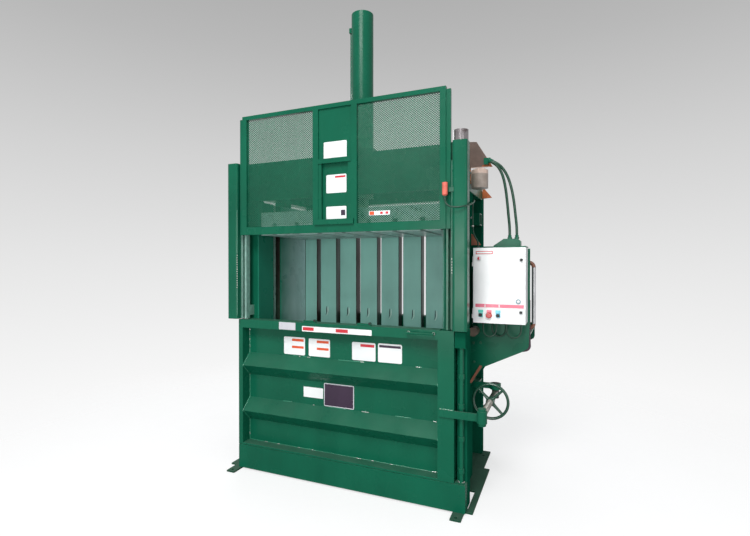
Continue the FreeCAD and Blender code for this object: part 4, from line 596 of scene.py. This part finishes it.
# ---------------- cords
# control points in millimetres
HOSE_A = (
    (1022, 25, 2388), (1050, 27, 2372), (1083, 33, 2338), (1109, 48, 2276), (1124, 72, 2190),
    (1133, 96, 2090), (1140, 118, 1985), (1146, 139, 1905), (1146, 139, 1850),
)
HOSE_B = (
    (1030, 78, 2400), (1060, 79, 2384), (1098, 82, 2350), (1136, 87, 2285), (1162, 96, 2200),
    (1179, 110, 2100), (1189, 125, 1990), (1197, 139, 1907), (1197, 139, 1850),
)
INTERLOCK = (
    (819, -530, 2064), (819, -530, 2040), (832, -533, 2014), (866, -538, 1996), (908, -537, 1994),
    (948, -520, 2002), (969, -470, 2016), (972, -395, 2034), (964, -305, 2054), (947, -210, 2074),
    (925, -115, 2090), (904, -35, 2096), (891, 20, 2078), (887, 44, 2020), (886.5, 50, 1950),
    (890, 36, 1890), (905, 10, 1845), (928, -11, 1815), (940, -19, 1790), (940, -19, 1760),
)
CONDUITS = (
    ((985, -70, 1208), (985, -70, 1177), (987, -69, 1142), (1009, -63, 1115), (1044, -52, 1112),
     (1070, -43, 1138), (1075, -40, 1174), (1075, -40, 1208)),
    ((1040, -12, 1208), (1040, -12, 1176), (1043, -11, 1139), (1068, -4, 1110), (1105, 4, 1109),
     (1131, 1, 1137), (1136, 0, 1174), (1136, 0, 1208)),
    ((1148, -72, 1208), (1148, -72, 1178), (1152, -70, 1141), (1177, -63, 1113), (1214, -55, 1112),
     (1241, -49, 1139), (1246, -47, 1175), (1246, -47, 1208)),
)


def make_cord(name, route, diameter, material, stands_for):
    """Smooth cord through listed control points."""
    curve = bpy.data.curves.new(name, "CURVE")
    curve.dimensions = "3D"
    curve.bevel_depth = diameter / 2
    curve.bevel_resolution = 5
    curve.resolution_u = 10
    spline = curve.splines.new("NURBS")
    spline.points.add(len(route) - 1)
    for point, (x, y, z) in zip(spline.points, route):
        point.co = (x * MM, y * MM, z * MM, 1.0)
    spline.order_u = 3
    spline.use_endpoint_u = True
    cord = add_piece(name, curve, "frame", material)
    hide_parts(stands_for)


make_cord("hose_a", HOSE_A, 0.020, HOSE, "hydraulic_hoses")
make_cord("hose_b", HOSE_B, 0.020, HOSE, "hydraulic_hoses")
make_cord("interlock_cable", INTERLOCK, 0.011, JACKET, "cables")
for index, (route, length) in enumerate(zip(CONDUITS, (0.241, 0.249, 0.245))):
    make_cord(f"conduit_{index}", route, 0.012, JACKET, "cables")


# ---------------- light, floor and background
SKY_RANGE = (-0.42, 0.52)                # rise of the view, from white to the darkest grey
SKY_GREYS = ((-0.23, 248), (0.0, 231), (0.22, 210), (0.42, 185), (0.52, 174))
SOFT_COLOUR = (0.93, 0.96, 1.0, 1.0)
SOFT_STRENGTH = 0.42


def make_world():
    """White below and grey above for the camera and for reflections; plain soft light otherwise."""
    world = bpy.data.worlds.new("studio")
    bpy.context.scene.world = world
    r = Recipe(world)
    rise = r.split(r.places["Generated"])["Z"]
    ramp = r.add("ValToRGB", {"Fac": r.spread(rise, *SKY_RANGE)})
    stops = ramp.color_ramp.elements
    stops[0].color = (1.0, 1.0, 1.0, 1.0)
    stops[1].color = linear(*3 * [SKY_GREYS[-1][1]])
    for height, grey in SKY_GREYS[:-1]:
        stop = stops.new((height - SKY_RANGE[0]) / (SKY_RANGE[1] - SKY_RANGE[0]))
        stop.color = linear(grey, grey, grey)
    backdrop = r.add("Background", {"Color": ramp.outputs["Color"], "Strength": 1.0})
    soft = r.add("Background", {"Color": SOFT_COLOUR, "Strength": SOFT_STRENGTH})
    path = r.add("LightPath").outputs
    mirrored = r.math("MAXIMUM", path["Is Glossy Ray"], path["Is Transmission Ray"])
    seen = r.math("MAXIMUM", path["Is Camera Ray"], mirrored)
    mixed = r.add("MixShader", {0: seen, 1: soft.outputs[0], 2: backdrop.outputs[0]})
    r.add("OutputWorld", {"Surface": mixed.outputs[0]})


def area_light(name, place, target, width, height, power):
    """Soft box aimed at a point."""
    data = bpy.data.lights.new(name, "AREA")
    data.shape = "RECTANGLE"
    data.size = width
    data.size_y = height
    data.energy = power
    lamp = bpy.data.objects.new(name, data)
    lamp.location = place
    aim = Vector(target) - Vector(place)
    lamp.rotation_euler = aim.to_track_quat("-Z", "Y").to_euler()
    bpy.context.scene.collection.objects.link(lamp)


FLOOR_RADIUS = 7.0
FLOOR_SIDES = 96
FLOOR_FADE = (2.0, 4.5)                  # from lit floor to backdrop, from the middle
FLOOR_WHITE = 0.62                       # white that the camera adds to the lit floor
FLOOR_TONES = ((0.40, 0.40, 0.40, 1.0), (0.43, 0.43, 0.43, 1.0))


def make_floor():
    """Pale floor round the machine that fades into the backdrop."""
    rim = round_points(Vector(), Vector((1, 0, 0)), Vector((0, 1, 0)), FLOOR_RADIUS, FLOOR_SIDES)
    faces = [(0, i, i % FLOOR_SIDES + 1) for i in range(1, FLOOR_SIDES + 1)]
    floor = bpy.data.objects.new("floor", mesh_from("floor", [Vector()] + rim, faces))
    bpy.context.scene.collection.objects.link(floor)
    r = recipe("floor")
    tone = r.mix(r.noise(1.5, 3), *FLOOR_TONES)
    diffuse = r.add("BsdfDiffuse", {"Color": tone})
    seen = r.add("LightPath").outputs["Is Camera Ray"]
    white = r.add("Emission", {"Strength": r.math("MULTIPLY", seen, FLOOR_WHITE)})
    lit = r.add("AddShader", {0: diffuse.outputs[0], 1: white.outputs[0]})
    clear = r.add("BsdfTransparent")
    away = r.add("VectorMath", {0: r.place}, operation="LENGTH").outputs["Value"]
    mixed = r.add("MixShader", {0: r.spread(away, *FLOOR_FADE), 1: lit.outputs[0], 2: clear.outputs[0]})
    r.add("OutputMaterial", {"Surface": mixed.outputs[0]})
    floor.data.materials.append(r.owner)


make_world()
make_floor()
area_light("key", (0.9, -6.2, 7.0), (0.1, 0.0, 1.1), 3.6, 2.8, 420)
area_light("front", (0.2, -6.0, 1.5), (0.1, 0.0, 1.4), 2.2, 1.6, 100)
area_light("fill", (4.4, -4.6, 2.2), (0.8, 0.0, 1.3), 2.6, 3.0, 50)
area_light("top", (0.6, -1.0, 6.4), (0.3, 0.2, 0.0), 4.0, 3.0, 36)
area_light("rear", (-3.4, 4.4, 3.8), (0.0, 0.0, 1.6), 3.0, 2.4, 80)

# ---------------- gate mesh
MESH_PITCH = 0.018                       # strands across
MESH_ROW = 0.0075                        # from one row of holes to the next
MESH_OPEN = 0.62                         # share of a cell that is open
MESH_LEAN = 0.0007                       # strands turned out of the sheet, above and below each hole
MESH_LINK = 0.10                         # flat sides of a cell, as a share of the row
MESH_THICK = 0.0015
MESH_INNER = 0.1783                      # inner edge of a sheet, from the centre line


def expanded_mesh(name, side):
    """Expanded-metal sheet: staggered six-sided cells, each with its own strand loop."""
    low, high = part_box("gate_mesh")
    x0, x1 = (MESH_INNER, high.x) if side > 0 else (low.x, -MESH_INNER)
    columns = int((x1 - x0) / MESH_PITCH)
    rows = int((high.z - low.z) / MESH_ROW)
    pitch = (x1 - x0) / columns
    row_step = (high.z - low.z) / rows
    tall = row_step * (1 - MESH_LINK)
    short = row_step * MESH_LINK
    half = pitch / 2
    shape = [(0, tall), (half, short), (half, -short), (0, -tall), (-half, -short), (-half, short)]
    verts, faces = [], []
    y = (low.y + high.y) / 2
    for row in range(1, rows):
        z = low.z + row * row_step
        for column in range(columns + row % 2):
            x = x0 + pitch * (column + 0.5 - 0.5 * (row % 2))
            start = len(verts)
            for scale, lean in ((1.0, 0.0), (MESH_OPEN, MESH_LEAN)):
                for dx, dz in shape:
                    verts.append((min(max(x + dx * scale, x0), x1), y + lean * dz / tall, z + dz * scale))
            for i in range(6):
                j = (i + 1) % 6
                faces.append((start + i, start + j, start + 6 + j, start + 6 + i))
    data = mesh_from(name, verts, faces)
    work = bmesh.new()
    work.from_mesh(data)
    bmesh.ops.remove_doubles(work, verts=work.verts, dist=0.00002)
    bmesh.ops.dissolve_degenerate(work, edges=work.edges, dist=0.00002)
    work.to_mesh(data)
    work.free()
    sheet = add_piece(name, data, "gate", PAINT_MESH)
    thick = sheet.modifiers.new("thickness", "SOLIDIFY")
    thick.thickness = MESH_THICK
    thick.offset = 0
    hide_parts("gate_mesh")


expanded_mesh("mesh_left", -1)
expanded_mesh("mesh_right", 1)


# ---------------- weld beads
BEAD_STEP = 0.45                         # shares of the radius: from ring to ring,
BEAD_RIPPLE = 1.5                        # and from one ripple to the next
BEAD_LOW = 0.72                          # radius between two ripples
BEAD_END = 0.4


def weld_bead(name, runs, radius, body, material=WELD):
    """Scalloped beads along straight runs, given as (start, end) points."""
    beads = Shape()
    for a, b in runs:
        a, b = Vector(a), Vector(b)
        along = (b - a).normalized()
        across = along.orthogonal().normalized()
        up = along.cross(across)
        count = max(2, int((b - a).length / (radius * BEAD_STEP)))
        rings = []
        for i in range(count + 1):
            phase = i * BEAD_STEP / BEAD_RIPPLE % 1.0
            r = radius * (BEAD_LOW + (1 - BEAD_LOW) * math.sqrt(1 - (2 * phase - 1) ** 2))
            if i in (0, count):
                r *= BEAD_END
            rings.append(round_points(a.lerp(b, i / count), across, up, r, 6))
        beads.rings(rings)
    data = mesh_from(name, beads.verts, beads.faces, smooth=True)
    return add_piece(name, data, body, material)


def chained(points):
    """Runs from each point to the next."""
    return list(zip(points, points[1:]))


def level(y, z, *spans):
    """Runs along X, given as (left, right)."""
    return [((x0, y, z), (x1, y, z)) for x0, x1 in spans]


def upright(x, y, *spans):
    """Runs along Z, given as (lower, upper)."""
    return [((x, y, z0), (x, y, z1)) for z0, z1 in spans]


WELD_Y = SKIN_Y - 0.001                  # beads on the door skin
INNER_LEFT = DOOR_LEFT + LEFT_STILE
INNER_RIGHT = DOOR_RIGHT - RIGHT_STILE
STILE_BEADS = (INNER_LEFT + 0.001, INNER_RIGHT - 0.001)
STILE_FOOT = 0.212


def door_welds():
    """Beads down both stiles, and along the slanting ends of the ribs."""
    runs = []
    for z in [DOOR_TOP - drop for drop in RIB_DROPS]:
        for x in STILE_BEADS:
            for reach in (RIB_REACH, -RIB_REACH):
                runs.append(((x, SKIN_Y - RIB_REACH, z), (x, WELD_Y, z + reach)))
    for x in STILE_BEADS:
        runs += upright(x, WELD_Y, (STILE_FOOT, DOOR_TOP - RAIL_HEIGHT))
    weld_bead("door_welds", runs, 0.004, "door")


door_welds()


# ---------------- handwheel and screw
SCREW_LOW, SCREW_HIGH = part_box("latch_screw")
WHEEL_LOW, WHEEL_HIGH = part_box("handwheel")
SCREW_X = (SCREW_LOW.x + SCREW_HIGH.x) / 2
SCREW_Z = (SCREW_LOW.z + SCREW_HIGH.z) / 2
SCREW_R = (SCREW_HIGH.x - SCREW_LOW.x) / 2
WHEEL_Y = (WHEEL_LOW.y + WHEEL_HIGH.y) / 2
WHEEL_R = (WHEEL_HIGH.x - WHEEL_LOW.x) / 2
RIM_R = 0.010
HUB_R = 0.028
HUB_HALF = (WHEEL_HIGH.y - WHEEL_LOW.y) / 2
HUB_CHAMFER = 0.003
SPOKE_R, SPOKE_TAPER = 0.0116, 0.0030    # at the hub, and the loss towards the rim
HUB_FLARE, RIM_FLARE = 0.0035, 0.0020    # swelling of a spoke at its ends
THREAD_PITCH = 0.009
THREAD_DEPTH = 0.0028
THREAD_STEP = 0.001                      # from ring to ring
THREAD_SIDES = 28
THREAD_FADE = 0.006                      # length over which the thread runs in and out
THREAD_END = WHEEL_LOW.y - 0.004


def make_handwheel():
    """Cast wheel: round rim, four tapering spokes that flare into rim and hub, chamfered hub."""
    wheel = Shape()
    middle = Vector((SCREW_X, WHEEL_Y, SCREW_Z))
    rim_at = WHEEL_R - RIM_R
    rim = round_points(middle, Vector((1, 0, 0)), Vector((0, 0, 1)), rim_at, 96)
    wheel.tube(rim, RIM_R, sides=16, closed=True)
    bore = SCREW_R + 0.0001
    half = ((bore, HUB_HALF), (HUB_R - HUB_CHAMFER, HUB_HALF), (HUB_R, HUB_HALF - HUB_CHAMFER),
            (HUB_R, 0.012))
    profile = [(r, -d) for r, d in half] + [(HUB_R - 0.001, 0.0)] + list(reversed(half))
    wheel.turned(profile, middle, (0, 1, 0), sides=48, closed=True)
    start = HUB_R - 0.002
    reach = rim_at - start
    shares = [i / 14 for i in range(15)]
    for turn in (45, 135, 225, 315):
        out = Vector((math.cos(math.radians(turn)), 0, math.sin(math.radians(turn))))
        path = [middle + out * (start + reach * share) for share in shares]
        radii = []
        for share in shares:
            flare = HUB_FLARE * math.exp(-share * 14) + RIM_FLARE * math.exp((share - 1) * 14)
            radii.append(SPOKE_R - SPOKE_TAPER * share + flare)
        wheel.tube(path, radii, sides=14, flat=0.8)
    obj = wheel.piece("hand_wheel", "latch_wheel", [PAINT_WHEEL], "paint", sharp=40)
    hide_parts("handwheel")


def make_screw():
    """Trapezoid thread from the tip to the hub, then a plain journal for the bearing."""
    screw = Shape()
    tip = SCREW_LOW.y
    rings = []
    y = tip
    while y < THREAD_END:
        fade = max(0.0, min(1.0, (y - tip) / THREAD_FADE, (THREAD_END - y) / THREAD_FADE))
        ring = []
        for k in range(THREAD_SIDES):
            phase = ((y - tip) / THREAD_PITCH - k / THREAD_SIDES) % 1.0
            ridge = min(1.0, max(0.0, 2.2 - abs(phase - 0.5) * 8.0))
            r = SCREW_R - THREAD_DEPTH * (1 - ridge * fade)
            angle = 2 * math.pi * k / THREAD_SIDES
            ring.append((SCREW_X + r * math.cos(angle), y, SCREW_Z + r * math.sin(angle)))
        rings.append(ring)
        y += THREAD_STEP
    screw.rings(rings)
    reach = SCREW_HIGH.y - THREAD_END
    journal = ((0.0, 0.0), (SCREW_R - 0.002, 0.0), (SCREW_R, 0.002), (SCREW_R, reach - 0.003),
               (SCREW_R - 0.003, reach), (0.0, reach))
    screw.turned(journal, (SCREW_X, THREAD_END, SCREW_Z), (0, 1, 0), 40)
    obj = screw.piece("screw_thread", "latch_wheel", [STEEL_DULL], "bare_steel", sharp=30)
    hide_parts("latch_screw")


make_handwheel()
make_screw()


# ---------------- labels, left bare
def label(name, body, box, y, fields=(), base=VINYL, corner=0.005):
    """Thin rounded label on a face, with plain fields of colour as (x0, x1, z0, z1, material).

    Each field stands a little prouder than the one before.
    """
    shape = Shape()
    front = y - 0.0007
    shape.plate(*box, y + 0.0004, front, corner)
    materials = [base]
    for step, (*field, material) in enumerate(fields):
        if material not in materials:
            materials.append(material)
        field_front = front - 0.0003 - 0.0001 * step
        shape.plate(*field, front + 0.0002, field_front, 0.002, materials.index(material))
    return shape.piece(name, body, materials, "box_white")


label("rail_plate", "door", (-0.497, -0.349, 1.134, 1.191), DOOR_Y, base=VINYL_GREY, corner=0.003)
label("rail_strip", "door", (-0.291, 0.278, 1.130, 1.170), DOOR_Y, (
    (-0.284, -0.190, 1.138, 1.163, VINYL_RED),
    (-0.006, 0.092, 1.138, 1.163, VINYL_RED),
), corner=0.004)
label("door_label_a", "door", (-0.512, -0.320, 0.929, 1.066), SKIN_Y, (
    (-0.438, -0.332, 1.034, 1.054, VINYL_ORANGE),
    (-0.438, -0.332, 0.980, 0.998, VINYL_ORANGE),
), corner=0.010)
label("door_label_b", "door", (-0.2875, -0.102, 0.929, 1.064), SKIN_Y, (
    (-0.216, -0.113, 1.033, 1.052, VINYL_ORANGE),
    (-0.216, -0.113, 0.980, 0.998, VINYL_ORANGE),
), corner=0.010)
label("door_label_c", "door", (0.082, 0.270, 0.929, 1.062), SKIN_Y, (
    (0.150, 0.260, 1.030, 1.050, VINYL_RED),
), corner=0.010)
label("door_label_d", "door", (0.289, 0.472, 0.929, 1.065), SKIN_Y, (
    (0.298, 0.463, 1.036, 1.053, VINYL_DARK),
), corner=0.010)
label("door_label_e", "door", (-0.333, -0.162, 0.611, 0.690), SKIN_Y, corner=0.003)
label("door_label_f", "door", (-0.154, 0.098, 0.560, 0.735), SKIN_Y, (
    (-0.147, 0.091, 0.567, 0.728, VINYL_DARK),
), base=VINYL_GREY, corner=0.008)

GATE_SHEET_Y = -0.480                    # front of the upper sheet of the gate's centre panel
GATE_BOX_Y = -0.464                      # front of the sheet recessed below it
GATE_MESH_Y = -0.4765
label("gate_label_a", "gate", (-0.092, 0.094, 2.392, 2.518), GATE_SHEET_Y, corner=0.008)
label("gate_label_b", "gate", (-0.080, 0.084, 2.150, 2.283), GATE_BOX_Y, (
    (-0.008, 0.076, 2.258, 2.272, VINYL_RED),
), corner=0.008)
label("gate_label_c", "gate", (-0.080, 0.084, 1.958, 2.052), GATE_BOX_Y, (
    (0.040, 0.074, 1.985, 2.025, VINYL_DARK),
), corner=0.008)
label("mesh_label", "gate", (0.2655, 0.4225, 1.973, 2.003), GATE_MESH_Y, (
    (0.2700, 0.3050, 1.976, 2.000, VINYL_ORANGE),
    (0.3500, 0.3700, 1.980, 1.996, VINYL_RED),
    (0.3900, 0.4100, 1.980, 1.996, VINYL_RED),
), corner=0.003)

BOX_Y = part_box("control_box_door")[0].y
label("box_label_a", "box_door", (0.946, 1.068, 1.701, 1.728), BOX_Y, (
    (0.949, 1.065, 1.7035, 1.7255, VINYL_RED),
    (0.954, 1.060, 1.7085, 1.7205, VINYL),
), base=VINYL, corner=0.002)
label("box_label_b", "box_door", (0.946, 1.2727, 1.3312, 1.3552), BOX_Y, (
    (1.010, 1.016, 1.333, 1.353, VINYL),
    (1.106, 1.112, 1.333, 1.353, VINYL),
), base=VINYL_PINK, corner=0.002)

# ---------------- welds on the door
ARM_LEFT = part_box("latch_arm")[0].x
ARM_RIGHT = DOOR_RIGHT - 0.002
ARM_TOP = 0.677
ARM_FOOT = 0.629
ARM_FACE = DOOR_Y - 0.0005
weld_bead("arm_welds", [
    *level(ARM_FACE, ARM_TOP, (ARM_LEFT, ARM_RIGHT)),
    *level(ARM_FACE, ARM_FOOT, (ARM_LEFT, ARM_RIGHT)),
    *upright(ARM_LEFT, ARM_FACE, (ARM_FOOT, ARM_TOP)),
], 0.005, "door")
# bright bare beads along the arm's top edge: painted glints
weld_bead("arm_spatter_glints", [
    ((x, ARM_FACE - 0.001, ARM_TOP + 0.001), (x + 0.007, ARM_FACE - 0.001, ARM_TOP))
    for x in [ARM_LEFT + start for start in (0.004, 0.024, 0.040, 0.062, 0.080)]
], 0.0045, "door", WELD_BARE_GLINT)

# where the upper faces of the ribs meet the skin, and where the skin stands on the ledge below it
UPPER_ROOT, LOWER_ROOT = [DOOR_TOP - drop + RIB_REACH for drop in RIB_DROPS]
LEDGE_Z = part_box("door_skin")[0].z + 0.011
weld_bead("stitch_welds", [
    *level(WELD_Y, UPPER_ROOT, (-0.4293, -0.3928), (-0.3385, -0.2672), (-0.0344, 0.1866), (0.5678, 0.6185)),
    *level(WELD_Y, LOWER_ROOT, (-0.5200, -0.4400), (-0.1100, 0.0300), (0.4200, 0.5400)),
], 0.005, "door")
weld_bead("ledge_welds", level(WELD_Y, LEDGE_Z, (INNER_LEFT, INNER_RIGHT)), 0.004, "door")
# bright bare specks on the ledge and at the rib roots: painted glints
weld_bead("spatter_glints", [
    ((x, WELD_Y - 0.0015, z), (x + run, WELD_Y - 0.0015, z))
    for x, z, run in (
        (-0.696, LEDGE_Z, 0.030), (-0.574, LEDGE_Z + 0.001, 0.022), (-0.385, LEDGE_Z, 0.020),
        (-0.262, LEDGE_Z + 0.002, 0.016), (0.118, LEDGE_Z, 0.040), (0.236, LEDGE_Z + 0.001, 0.020),
        (0.380, LEDGE_Z, 0.026), (0.690, LEDGE_Z + 0.002, 0.034), (-0.372, UPPER_ROOT, 0.010),
        (-0.300, UPPER_ROOT, 0.030), (0.150, UPPER_ROOT, 0.030), (0.575, UPPER_ROOT, 0.030),
        (0.160, LOWER_ROOT, 0.060), (-0.250, LOWER_ROOT, 0.014), (0.700, LOWER_ROOT, 0.024),
    )
], 0.0042, "door", WELD_BARE_GLINT)
# bright bare beads down the left stile: painted glints
weld_bead("stile_spatter_glints", upright(INNER_LEFT + 0.001, WELD_Y - 0.001, *[
    (z, z + run)
    for z, run in ((1.096, 0.016), (1.060, 0.008), (1.018, 0.014), (0.960, 0.006), (0.902, 0.014),
                   (0.735, 0.010), (0.420, 0.008), (0.245, 0.022))
]), 0.004, "door", WELD_BARE_GLINT)

HOOKS = (-0.195, 0.253)                  # places along X
HANDLE_LEGS = (0.552, 0.726)
HANDLE_WELD_R = 0.0085


def door_fixings():
    """Black discs in the eyes of the tie hooks as painted shade, and the welds round the legs of the pull
    handle.
    """
    eyes = Shape()
    profile = ((0.0, -0.0012), (0.0066, -0.0012), (0.0090, 0.0), (0.0090, 0.002), (0.0, 0.002))
    for x in HOOKS:
        eyes.turned(profile, (x, DOOR_Y + 0.018, DOOR_TOP + 0.016), (0, 1, 0), 24)
    eyes.piece("hook_eye_shade", "door", [BLACK], "black_plastic")
    runs = []
    for leg in HANDLE_LEGS:
        ring = arc(leg, DOOR_TOP - 0.024, HANDLE_WELD_R, 0, 360, 12)
        runs += chained([(x, DOOR_Y - 0.001, z) for x, z in ring])
    weld_bead("handle_welds", runs, 0.003, "door", WELD_BARE_GLINT)


door_fixings()

# ---------------- welds on the frame
BOX_LEFT_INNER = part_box("guide_box_left")[1].x
BOX_RIGHT_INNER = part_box("guide_box_right")[0].x
GUIDE_SEAM_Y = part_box("guide_box_left")[0].y + 0.0008
weld_bead("guide_welds", [
    *upright(BOX_LEFT_INNER, GUIDE_SEAM_Y, (1.230, 1.440), (1.720, 2.060)),
    *upright(BOX_RIGHT_INNER, GUIDE_SEAM_Y, (1.740, 2.300)),
], 0.0034, "frame")
# short bright bare beads along the seams: painted glints where the seams catch the light
weld_bead("guide_weld_glints", [
    ((x, GUIDE_SEAM_Y, z), (x, GUIDE_SEAM_Y, z + 0.011))
    for x, foot, count in ((BOX_LEFT_INNER, 1.445, 15), (BOX_RIGHT_INNER, 1.570, 6))
    for z in [foot + 0.018 * k for k in range(count)]
], 0.0030, "frame", WELD_BARE_GLINT)

ROD_X, ROD_Y = 0.905, -0.4185
ROD_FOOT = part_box("latch_rod")[0].z
ROD_WELD_R = 0.0205
weld_bead("rod_welds", chained([
    (x, y, ROD_FOOT + 0.004) for x, y in arc(ROD_X, ROD_Y, ROD_WELD_R, 180, 180, 12)
]), 0.0035, "frame", WELD_BARE_GLINT)

# ---------------- wire tabs of the back wall
PANEL_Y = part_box("back_wall_panels")[0].y
TAB_PLACES = (-0.5265, -0.308, -0.1077, 0.1042, 0.3145, 0.5165)
TAB_TOP = 1.243
TAB_LENGTH = 0.084
TAB_CURL_FROM = 0.55                     # share of the length where the curl begins


def wire_tabs():
    """Pressed tabs that guide the baling wire: a dark strip in the slit as painted shade, beside a raised,
    curling lip made pale as painted highlight.
    """
    tabs = Shape()
    shares = [i / 12 for i in range(13)]
    slit_radii = [0.0012 + 0.0062 * math.sin(math.pi * min(1.0, 0.12 + share * 0.86)) for share in shares]
    lip_radii = [0.0012 + 0.0030 * math.sin(math.pi * (0.06 + share * 0.9)) for share in shares]
    for x in TAB_PLACES:
        slit, lip = [], []
        for share in shares:
            z = TAB_TOP - TAB_LENGTH * share
            bend = -0.012 * (max(0.0, share - TAB_CURL_FROM) / (1 - TAB_CURL_FROM)) ** 1.6
            slit.append((x + bend, PANEL_Y - 0.0002, z))
            lip.append((x + 0.0115 + bend * 1.3, PANEL_Y - 0.0015, z - 0.003))
        tabs.tube(slit, slit_radii, sides=8, mark=0, flat=0.12)
        tabs.tube(lip, lip_radii, sides=8, mark=1)
    tabs.piece("wire_tabs", "frame", [BLACK, PAINT_TAB_HIGHLIGHT], "paint_pale")


wire_tabs()

# ---------------- tray trim and small fixings
TRAY_LOW, TRAY_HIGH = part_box("power_tray")
POST_X = TRAY_LOW.x
TRAY_Y = TRAY_LOW.y
# distance in from the tray's end, height, and radius of the dark tube of painted shade
EDGE_SHADE_PATH = (
    (0.001, 1.376, 0.004), (0.001, 1.250, 0.004), (0.001, 1.120, 0.005), (0.001, 1.062, 0.007),
    (0.001, 1.046, 0.008), (0.004, 1.033, 0.008), (0.011, 1.022, 0.008), (0.024, 1.013, 0.007),
    (0.050, 1.003, 0.004),
)


def tray_trim():
    """Primed strut along the lower edge of the tray, and a dark tube over its outer corner as painted
    shade.
    """
    strut = Shape()
    ends = [(0.8755, TRAY_Y - 0.003, 0.742), (0.9545, TRAY_Y - 0.003, 0.877)]
    strut.tube(ends, 0.014, sides=12, flat=0.2)
    strut.piece("tray_strut", "frame", [PRIMED], "primer")
    shade_edge = Shape()
    path = [(TRAY_HIGH.x - back, TRAY_Y + 0.004, z) for back, z, _ in EDGE_SHADE_PATH]
    shade_edge.tube(path, [radius for _, _, radius in EDGE_SHADE_PATH], sides=12)
    shade_edge.piece("tray_edge_shade", "frame", [EDGE_SHADE_DARK], "black_plastic")


WASHER = 0.0015


def bolt_head(shape, centre, outward, size):
    """Six-sided head on a washer."""
    washer = ((0.0, 0.0), (size * 1.25, 0.0), (size * 1.25, WASHER), (0.0, WASHER))
    shape.turned(washer, centre, outward, 24)
    head = ((0.0, WASHER), (size * 0.98, WASHER), (size, 0.0022), (size, 0.0062), (size * 0.86, 0.0074),
            (0.0, 0.0074))
    shape.turned(head, centre, outward, 6)


def small_bolts():
    """Bolts that hold the tray's front plate to the posts and its brackets."""
    bolts = Shape()
    for x, z in ((0.8952, 1.0443), (0.9486, 1.0478), (0.8998, 0.9011)):
        bolt_head(bolts, (x, TRAY_Y, z), (0, -1, 0), 0.008)
    bolts.piece("tray_bolts", "frame", [PAINT_WORN], "paint", sharp=25)


def cable_fixings():
    """Second clip of the interlock cable, on the middle post, and the tapered relief under the switch."""
    clip = Shape()
    x, y, z = 0.8883, 0.043, 1.920
    foot = [(POST_X + 0.0010, y + 0.026, z), (POST_X + 0.0010, y + 0.012, z)]
    loop = [(u, v, z) for u, v in arc(x, y, 0.0075, 150, -300, 16)]
    clip.tube(foot + loop, 0.006, sides=8, flat=0.16)
    bolt_head(clip, (POST_X + 0.0015, y + 0.019, z), (1, 0, 0), 0.005)
    clip.piece("cable_clip", "frame", [STEEL], "bare_steel", sharp=30)
    relief = Shape()
    profile = ((0.0058, 0.0), (0.0118, 0.0), (0.0118, 0.004), (0.0098, 0.006), (0.0080, 0.019),
               (0.0066, 0.020), (0.0062, 0.014))
    relief.turned(profile, (0.819, -0.530, 2.0638), (0, 0, -1), 28, closed=True)
    relief.piece("switch_relief", "frame", [JACKET], "cable_jacket", sharp=30)


def small_gusset():
    """Primed gusset on the middle post, above the tray."""
    gusset = Shape()
    corners = ((POST_X, 1.778), (0.944, 1.778), (POST_X + 0.010, 1.862), (POST_X, 1.862))
    gusset.rings([[(x, y, z) for x, z in corners] for y in (0.074, 0.082)])
    gusset.piece("small_gusset", "frame", [PRIMED], "primer", sharp=25)


def box_ring():
    """Plugged cable entry on the box door: a ring with a pale button in it."""
    ring = Shape()
    place = (1.236, BOX_Y, 1.377)
    rim = ((0.0105, 0.0), (0.0165, 0.0), (0.0165, 0.002), (0.0150, 0.004), (0.0120, 0.004), (0.0105, 0.002))
    ring.turned(rim, place, (0, -1, 0), 36, closed=True)
    button = ((0.0, 0.0), (0.0102, 0.0), (0.0102, 0.0016), (0.0080, 0.0028), (0.0, 0.0030))
    ring.turned(button, place, (0, -1, 0), 36, mark=1)
    ring.piece("box_ring", "box_door", [RING, VINYL], "black_plastic")


def button_legends():
    """Plain coloured legend plates above the buttons."""
    for x, material in ((0.983, LEGEND_TEAL), (1.041, LEGEND_PINK), (1.102, LEGEND_CYAN)):
        tab = Shape()
        tab.plate(x - 0.017, x + 0.017, 1.2945, 1.314, BOX_Y + 0.0003, BOX_Y - 0.0025, 0.003)
        tab.piece(f"legend_{int(x * 1000)}", "box_door", [material], "black_plastic")


tray_trim()
small_bolts()
cable_fixings()
small_gusset()
box_ring()
button_legends()

# ---------------- corners of the chamber
PANEL_LOW, PANEL_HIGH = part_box("back_wall_panels")
CORNER_X = PANEL_HIGH.x + 0.004
CORNER_SPAN = (PANEL_LOW.z + 0.004, PANEL_HIGH.z - 0.004)
weld_bead("corner_welds", [
    *upright(-CORNER_X, PANEL_Y + 0.0055, CORNER_SPAN),
    *upright(CORNER_X, PANEL_Y + 0.0055, CORNER_SPAN),
], 0.0062, "frame", PANEL_SHEEN_SHADE)
